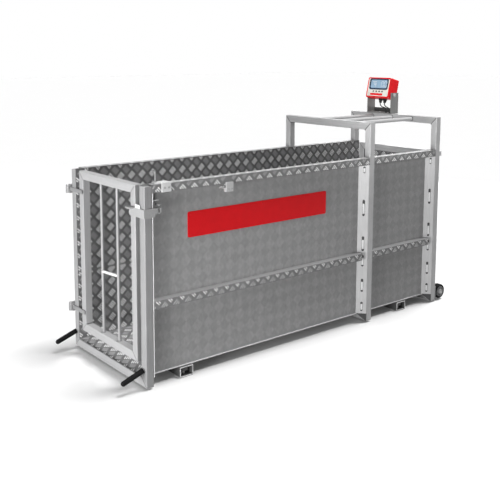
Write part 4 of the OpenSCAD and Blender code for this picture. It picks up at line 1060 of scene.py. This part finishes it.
class CRATE_OT_wheels(bpy.types.Operator):
    """Makes the tyres and the hubs"""
    bl_idname = "crate.wheels"
    bl_label = "Wheels"

    def execute(self, context):
        look = finishes()
        groove, crown, axle_bore, spoke_half, spokes, ease = 0.0016, 0.0022, 0.0083, 0.0016, 6, 0.0005
        for side, word in SIDES:
            low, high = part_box(word + "_wheel_tyre")
            hub_low, hub_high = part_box(word + "_wheel_hub")
            centre = (low + high) / 2
            radius, half = (high.z - low.z) / 2, (high.y - low.y) / 2
            hub = (hub_high.z - hub_low.z) / 2
            place = facing(centre, (0, side, 0))
            bm = bmesh.new()
            edge = [(hub + 0.0001, -half * 0.86), (hub + 0.002, -half * 0.97), (hub + 0.005, -half),
                    (radius * 0.86, -half * 0.99), (radius * 0.955, -half * 0.88),
                    (radius - crown * 0.4, -half * 0.62)]
            tread = []
            for at in (-0.42, 0.0, 0.42):
                tread += [(radius, half * (at - 0.14)), (radius - groove, half * (at - 0.09)),
                          (radius - groove, half * (at + 0.09)), (radius, half * (at + 0.14))]
            turned_ring(bm, edge + tread + [(r, -h) for r, h in edge[::-1]], place, 56)
            tyre = piece("tyre_" + word, bm, look["tyre_skin"], word + "_wheel")
            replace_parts(tyre, word + "_wheel_tyre")
            bm = bmesh.new()
            y_in, y_out = sorted((abs(hub_low.y), abs(hub_high.y)))
            back, face = y_in - abs(centre.y), y_out - abs(centre.y)
            boss, dish, rim = hub * 0.52, half * 0.45, half * 0.92
            profile = [(axle_bore, back), (boss, back), (boss, -dish), (hub * 0.86, -dish),
                       (hub * 0.90, -rim), (hub, -rim), (hub, rim), (hub * 0.90, rim), (hub * 0.86, dish),
                       (boss, dish), (boss * 0.96, face), (axle_bore, face)]
            turned_ring(bm, profile, place, 48)
            for k in range(spokes):
                arm = place @ Matrix.Rotation(k * math.pi / 3, 4, "Z")
                for foot, top in ((dish * 0.9, half * 0.80), (-half * 0.80, -dish * 0.9)):
                    block(bm, (boss * 0.97, -spoke_half, foot), (hub * 0.88, spoke_half, top), ease, arm)
            hub_piece = piece("hub_" + word, bm, look["hub_grey"], word + "_wheel")
            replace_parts(hub_piece, word + "_wheel_hub")
        return {"FINISHED"}


class CRATE_OT_grips(bpy.types.Operator):
    """Adds the soft rings of the handles' grips"""
    bl_idname = "crate.grips"
    bl_label = "Grip rings"

    def execute(self, context):
        look, bm = finishes(), bmesh.new()
        slope, bar = math.radians(19), 0.009
        first, step, rings = 0.014, 0.0062, 13
        way = Vector((-math.cos(slope), 0, -math.sin(slope)))
        root_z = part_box("handle_bars")[1].z - bar / math.cos(slope)
        profile = [(0.0118, -0.0020), (0.0126, -0.0011), (0.0126, 0.0011), (0.0118, 0.0020)]
        for side in (-1, 1):
            root = Vector((FRONT_LOW.x, side * (HALF - TUBE / 2), root_z))
            for k in range(rings):
                turned_ring(bm, profile, facing(root + way * (first + step * k), way), 28)
        piece("grip_rings", bm, look["grip_skin"], "crate")
        return {"FINISHED"}


FIGURE_RISE, FIGURE_EASE = 0.0003, 0.0001       # the display's figures: height and broken edges


def nought(bm, place, x, middle, lift, width, height):
    """Seven-segment nought on the display; its segments are low bevelled bars."""
    bar, half = width * 0.17, height / 2
    gap = bar * 0.65
    spans = ((-1, half, 1, half), (-1, 0, -1, half), (-1, -half, -1, 0), (-1, -half, 1, -half),
             (1, -half, 1, 0), (1, 0, 1, half))
    for y0, z0, y1, z1 in spans:
        y0, y1 = middle + y0 * width / 2, middle + y1 * width / 2
        if z0 == z1:
            low, high = (y0 + gap, lift + z0 - bar / 2), (y1 - gap, lift + z0 + bar / 2)
        else:
            low, high = (y0 - bar / 2, lift + z0 + gap), (y0 + bar / 2, lift + z1 - gap)
        block(bm, (x - FIGURE_RISE, *low), (x, *high), FIGURE_EASE, place)


# Profiles of small turned pieces: (radius, height) in metres
LAMP_DOME = ((0.0026, 0.0), (0.0026, 0.0006), (0.0021, 0.0013), (0.0010, 0.0017), (0.0003, 0.0018))
CASE_SCREW = ((0.0042, -0.0003), (0.0042, 0.0012), (0.0034, 0.0020), (0.0016, 0.0021),
              (0.0013, 0.0008), (0.0004, 0.0008))
# A knob's height and radius as shares, and its lobes
KNOB = ((0.0, 0.80), (0.06, 0.84), (0.14, 0.98), (0.55, 1.0), (0.72, 0.94), (0.78, 0.60), (0.84, 0.56),
        (1.0, 0.50))
KNOB_LOBES, LOBE_DEPTH, LOBED_FROM = 8, 0.07, 0.7


class CRATE_OT_indicator(bpy.types.Operator):
    """Dresses the indicator: bezel, display, legend strip, keys, screws and knobs"""
    bl_idname = "crate.indicator"
    bl_label = "Indicator"

    def execute(self, context):
        look, case = finishes(), context.scene.crate_indicator
        place = indicator_place(case)
        front, back = -case.ahead - case.panel_proud, case.depth - case.ahead
        middle = case.height / 2 - case.below
        ahead, behind = (-1, 0, 0), (1, 0, 0)
        bm, rim_y, rim_z, rim_up, sunk, proud = bmesh.new(), 0.014, 0.017, 0.001, 0.0012, 0.0018
        rounded_frame(bm, place, (case.width, case.height, case.corner, middle),
                      (case.width - rim_y, case.height - rim_z, case.corner * 0.6, middle + rim_up),
                      front + sunk, front - proud, sunk)
        piece("front_bezel", bm, look["shell_plastic"], "indicator")

        window_w, window_h = case.width * 0.80, case.height * 0.52
        lift = -case.below + case.height * 0.68
        cover, frame_in, ground_in = 0.003, 0.014, 0.012
        frame_r, opening_r, ground_r, ground_deep = 0.016, 0.009, 0.005, 0.0024
        screen, frame_back, frame_face = front + 0.0012, front + 0.004, front - 0.0016
        bm = bmesh.new()
        rounded_frame(bm, place, (window_w + 2 * cover, window_h + 2 * cover, frame_r, lift),
                      (window_w - frame_in, window_h - frame_in, opening_r, lift), frame_back, frame_face)
        bezel = piece("display_frame", bm, look["bezel_plastic"], "indicator")
        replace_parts(bezel, "display")
        bm = bmesh.new()
        ground = (window_w - ground_in, window_h - ground_in, ground_r, lift)
        loft(bm, [outline(place, *ground, x) for x in (screen, screen + ground_deep)])
        piece("display_ground", bm, look["screen_ground"], "indicator")
        bm = bmesh.new()
        tall, wide = window_h * 0.52, window_w * 0.11
        for at in (-0.36, -0.19):
            nought(bm, place, screen, window_w * at, lift, wide, tall)
        # The point and a stack of bars: their ends across the window, and their foot and top
        marks = [(-0.285, -0.265, lift - tall * 0.55, lift - tall * 0.43)]
        for k in range(4):
            low = lift - tall * 0.45 + k * tall * 0.26
            marks.append((0.14, 0.22 + 0.05 * k, low, low + tall * 0.10))
        for left, right, low, high in marks:
            block(bm, (screen - FIGURE_RISE, window_w * left, low), (screen, window_w * right, high),
                  FIGURE_EASE, place)
        piece("display_figures", bm, look["digit_light"], "indicator")

        bm, strip_w, strip_h, strip_r, ease = bmesh.new(), case.width * 0.54, 0.013, 0.0025, 0.0008
        strip_y, strip_z = 0.009, -0.0062
        loft(bm, [outline(place, strip_w - e, strip_h - e, strip_r, strip_z, front + x)
                  for e, x in ((0.0, 0.0004), (0.0, -0.0006), (ease, -0.0009))])
        bmesh.ops.translate(bm, verts=bm.verts, vec=place.to_3x3() @ Vector((0, strip_y, 0)))
        piece("legend_strip", bm, look["shell_plastic"], "indicator")
        bm = bmesh.new()
        lathe(bm, LAMP_DOME, place @ facing((front, -case.width * 0.42, lift + window_h * 0.48), ahead), 20)
        piece("status_lamp", bm, look["dark_plastic"], "indicator")

        reach, proud, deep, key_pitch = 0.005, 0.0018, 0.0098, 0.024
        profile = [(reach, -deep), (reach, proud - 0.0011), (reach * 0.93, proud - 0.0004),
                   (reach * 0.75, proud), (reach * 0.45, proud - 0.0001), (reach * 0.1, proud - 0.0002)]
        for k in range(4):
            name = "key_%d" % (k + 1)
            spot = (front, (1.5 - k) * key_pitch, case.height * 0.31 - case.below)
            bm = bmesh.new()
            lathe(bm, profile, place @ facing(spot, ahead), 28)
            cap = piece("cap_" + name, bm, look["dark_plastic"], name + "_body")
            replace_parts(cap, name)

        bm, screw_in = bmesh.new(), 0.014
        for y in (-1, 1):
            for z in (-1, 1):
                spot = (back, y * (case.width / 2 - screw_in), middle + z * (case.height / 2 - screw_in))
                lathe(bm, CASE_SCREW, place @ facing(spot, behind), 24)
        piece("case_screws", bm, look["zinc_bright"], "indicator")
        bm, stand, deep, ease, seam = bmesh.new(), 0.0012, 0.0022, 0.0004, 0.003
        w, h, r = case.width + 2 * stand, case.height + 2 * stand, case.corner + stand
        at = -case.ahead + case.depth * 0.30
        steps = ((deep, 0.0), (ease, 0.0), (0.0, 0.0006), (0.0, 0.0024), (ease, seam), (deep, seam))
        closed_loft(bm, [outline(place, w - 2 * d, h - 2 * d, r - d, middle, at + x) for d, x in steps])
        piece("case_seam", bm, look["shell_plastic"], "indicator")

        low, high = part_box("pivot_knobs")
        bracket_low, bracket_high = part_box("indicator_bracket")
        bm = bmesh.new()
        # Rear flange of the bracket in the near-black finish, darker than its steel: painted shade under the
        # bracket.
        block(bm, (bracket_high.x - 1.5 * SHEET, bracket_low.y + SHEET, bracket_low.z + SHEET),
              (bracket_high.x, bracket_high.y - SHEET, bracket_low.z + 0.75 * TUBE), SHEET / 4)
        piece("bracket_back", bm, look["slot_dark"], "crate")
        bm, reach, stem, clear = bmesh.new(), (high.z - low.z) / 2, 0.0048, 0.0002
        for side, tip, arm in ((-1, low.y, bracket_low.y), (1, high.y, bracket_high.y)):
            grip = facing(Vector((PIVOT.x, arm + side * clear, PIVOT.z)), (0, side, 0))
            rings = []
            for h, s in KNOB:
                ring = []
                for a in circle(48):
                    lobe = 1 - LOBE_DEPTH * (1 - math.cos(KNOB_LOBES * a)) / 2 if s > LOBED_FROM else 1.0
                    r = reach * s * lobe
                    ring.append(grip @ Vector((r * math.cos(a), r * math.sin(a), abs(tip - arm) * h)))
                rings.append(ring)
            loft(bm, rings)
            run = abs(arm - PIVOT.y) - case.width / 2 - clear
            lathe(bm, [(stem, -run), (stem, 0.001)], grip, 24)
        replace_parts(piece("star_knobs", bm, look["zinc_bright"], "indicator"), "pivot_knobs")
        return {"FINISHED"}


def shows_room(tree):
    """One for rays that show the room: from the camera, off gloss or through glass."""
    rays = node(tree, "LightPath").outputs
    both = math_node(tree, "ADD", rays["Is Camera Ray"], rays["Is Glossy Ray"])
    return math_node(tree, "ADD", both, rays["Is Transmission Ray"], clamp=True)


# Lamps by the setting of their power: kind, place, what they look at, width or angle, height or softness
LAMPS = {
    "top_lamp": ("SUN", (2.0, -0.40, 5.0), (0.0, 0.0, 0.0), math.radians(24), 0.0),
    "key_softbox": ("AREA", (-4.0, -0.85, 0.36), (-0.6, 0.0, 0.50), 2.2, 0.6),
    "near_softbox": ("AREA", (-2.1, -3.2, 0.45), (-0.6, 0.0, 0.50), 1.2, 0.8),
    "indicator_lamp": ("SPOT", (-1.6, -2.2, 1.7), (1.03, 0.1, 1.22), math.radians(20), 0.3),
    "rear_softbox": ("AREA", (4.4, 2.9, 1.2), (0.6, 0.0, 0.5), 1.6, 1.6),
}
FLOOR_REACH = 40.0
WHITE = (1, 1, 1, 1)


class CRATE_OT_stage(bpy.types.Operator):
    """Makes the pale floor, the white room and the soft lamps"""
    bl_idname = "crate.stage"
    bl_label = "Stage"

    def execute(self, context):
        scene, stage = context.scene, context.scene.crate_stage
        scene.view_settings.view_transform = "Standard"
        bm = bmesh.new()
        bmesh.ops.create_grid(bm, x_segments=8, y_segments=8, size=FLOOR_REACH)
        mesh = bpy.data.meshes.new("studio_floor")
        bm.to_mesh(mesh)
        bm.free()
        floor = bpy.data.objects.new("studio_floor", mesh)
        scene.collection.objects.link(floor)
        made, tree, shader = start_material("floor_paint", Roughness=0.9, Specular_IOR_Level=0.0,
                                            Emission_Color=WHITE)
        cloud = use_group(tree, "Cloudy patches", Size=1.5)
        shown = shows_room(tree)
        paint = mix_colour(tree, cloud["Shade"], rgba(stage.floor_colour, 0.99), rgba(stage.floor_colour))
        bounce = rgba(stage.floor_colour, stage.floor_bounce)
        tree.links.new(mix_colour(tree, shown, bounce, paint), shader["Base Color"])
        tree.links.new(times(tree, shown, stage.floor_glow), shader["Emission Strength"])
        mesh.materials.append(made)
        room = bpy.data.worlds.new("white_room")
        scene.world = room
        room.use_nodes = True
        tree = room.node_tree
        back = tree.nodes["Background"].inputs
        back["Color"].default_value = WHITE
        tree.links.new(spread(tree, shows_room(tree), 0.0, 1.0, stage.sky, 1.0), back["Strength"])
        for name, (kind, place, goal, size, other) in LAMPS.items():
            light = bpy.data.lights.new(name, kind)
            light.energy = getattr(stage, name)
            if kind == "SUN":
                light.angle = size
            elif kind == "SPOT":
                light.spot_size, light.spot_blend, light.shadow_soft_size = size, 1.0, other
            else:
                light.shape, light.size, light.size_y = "ELLIPSE", size, other
            lamp = bpy.data.objects.new(name, light)
            aim(lamp, place, Vector(goal) - Vector(place))
            scene.collection.objects.link(lamp)
        return {"FINISHED"}


OPERATORS = (CRATE_OT_camera, CRATE_OT_leads, CRATE_OT_finishes, CRATE_OT_tread, CRATE_OT_bends,
             CRATE_OT_slot_tabs, CRATE_OT_welds, CRATE_OT_fasteners, CRATE_OT_wheels, CRATE_OT_grips,
             CRATE_OT_indicator, CRATE_OT_stage)
SETTINGS = {"crate_tread": CrateTread, "crate_metal": CrateMetal, "crate_trim": CrateTrim,
            "crate_indicator": CrateIndicator, "crate_stage": CrateStage}


class CRATE_PT_looks(bpy.types.Panel):
    bl_idname = "CRATE_PT_looks"
    bl_label = "Weighing Crate"
    bl_space_type = "VIEW_3D"
    bl_region_type = "UI"
    bl_category = "Crate"

    def draw(self, context):
        for made in OPERATORS:
            self.layout.operator(made.bl_idname)
        for name in SETTINGS:
            box = self.layout.box()
            settings = getattr(context.scene, name)
            for prop in settings.bl_rna.properties:
                if prop.identifier not in ("rna_type", "name"):
                    box.prop(settings, prop.identifier)


def register():
    for made in (*SETTINGS.values(), *OPERATORS, CRATE_PT_looks):
        bpy.utils.register_class(made)
    for name, made in SETTINGS.items():
        setattr(bpy.types.Scene, name, PointerProperty(type=made))


def unregister():
    for name in SETTINGS:
        delattr(bpy.types.Scene, name)
    for made in (CRATE_PT_looks, *OPERATORS[::-1], *list(SETTINGS.values())[::-1]):
        bpy.utils.unregister_class(made)


def main():
    register()
    for made in OPERATORS:
        group, call = made.bl_idname.split(".")
        getattr(getattr(bpy.ops, group), call)()


if __name__ == "__main__":
    main()
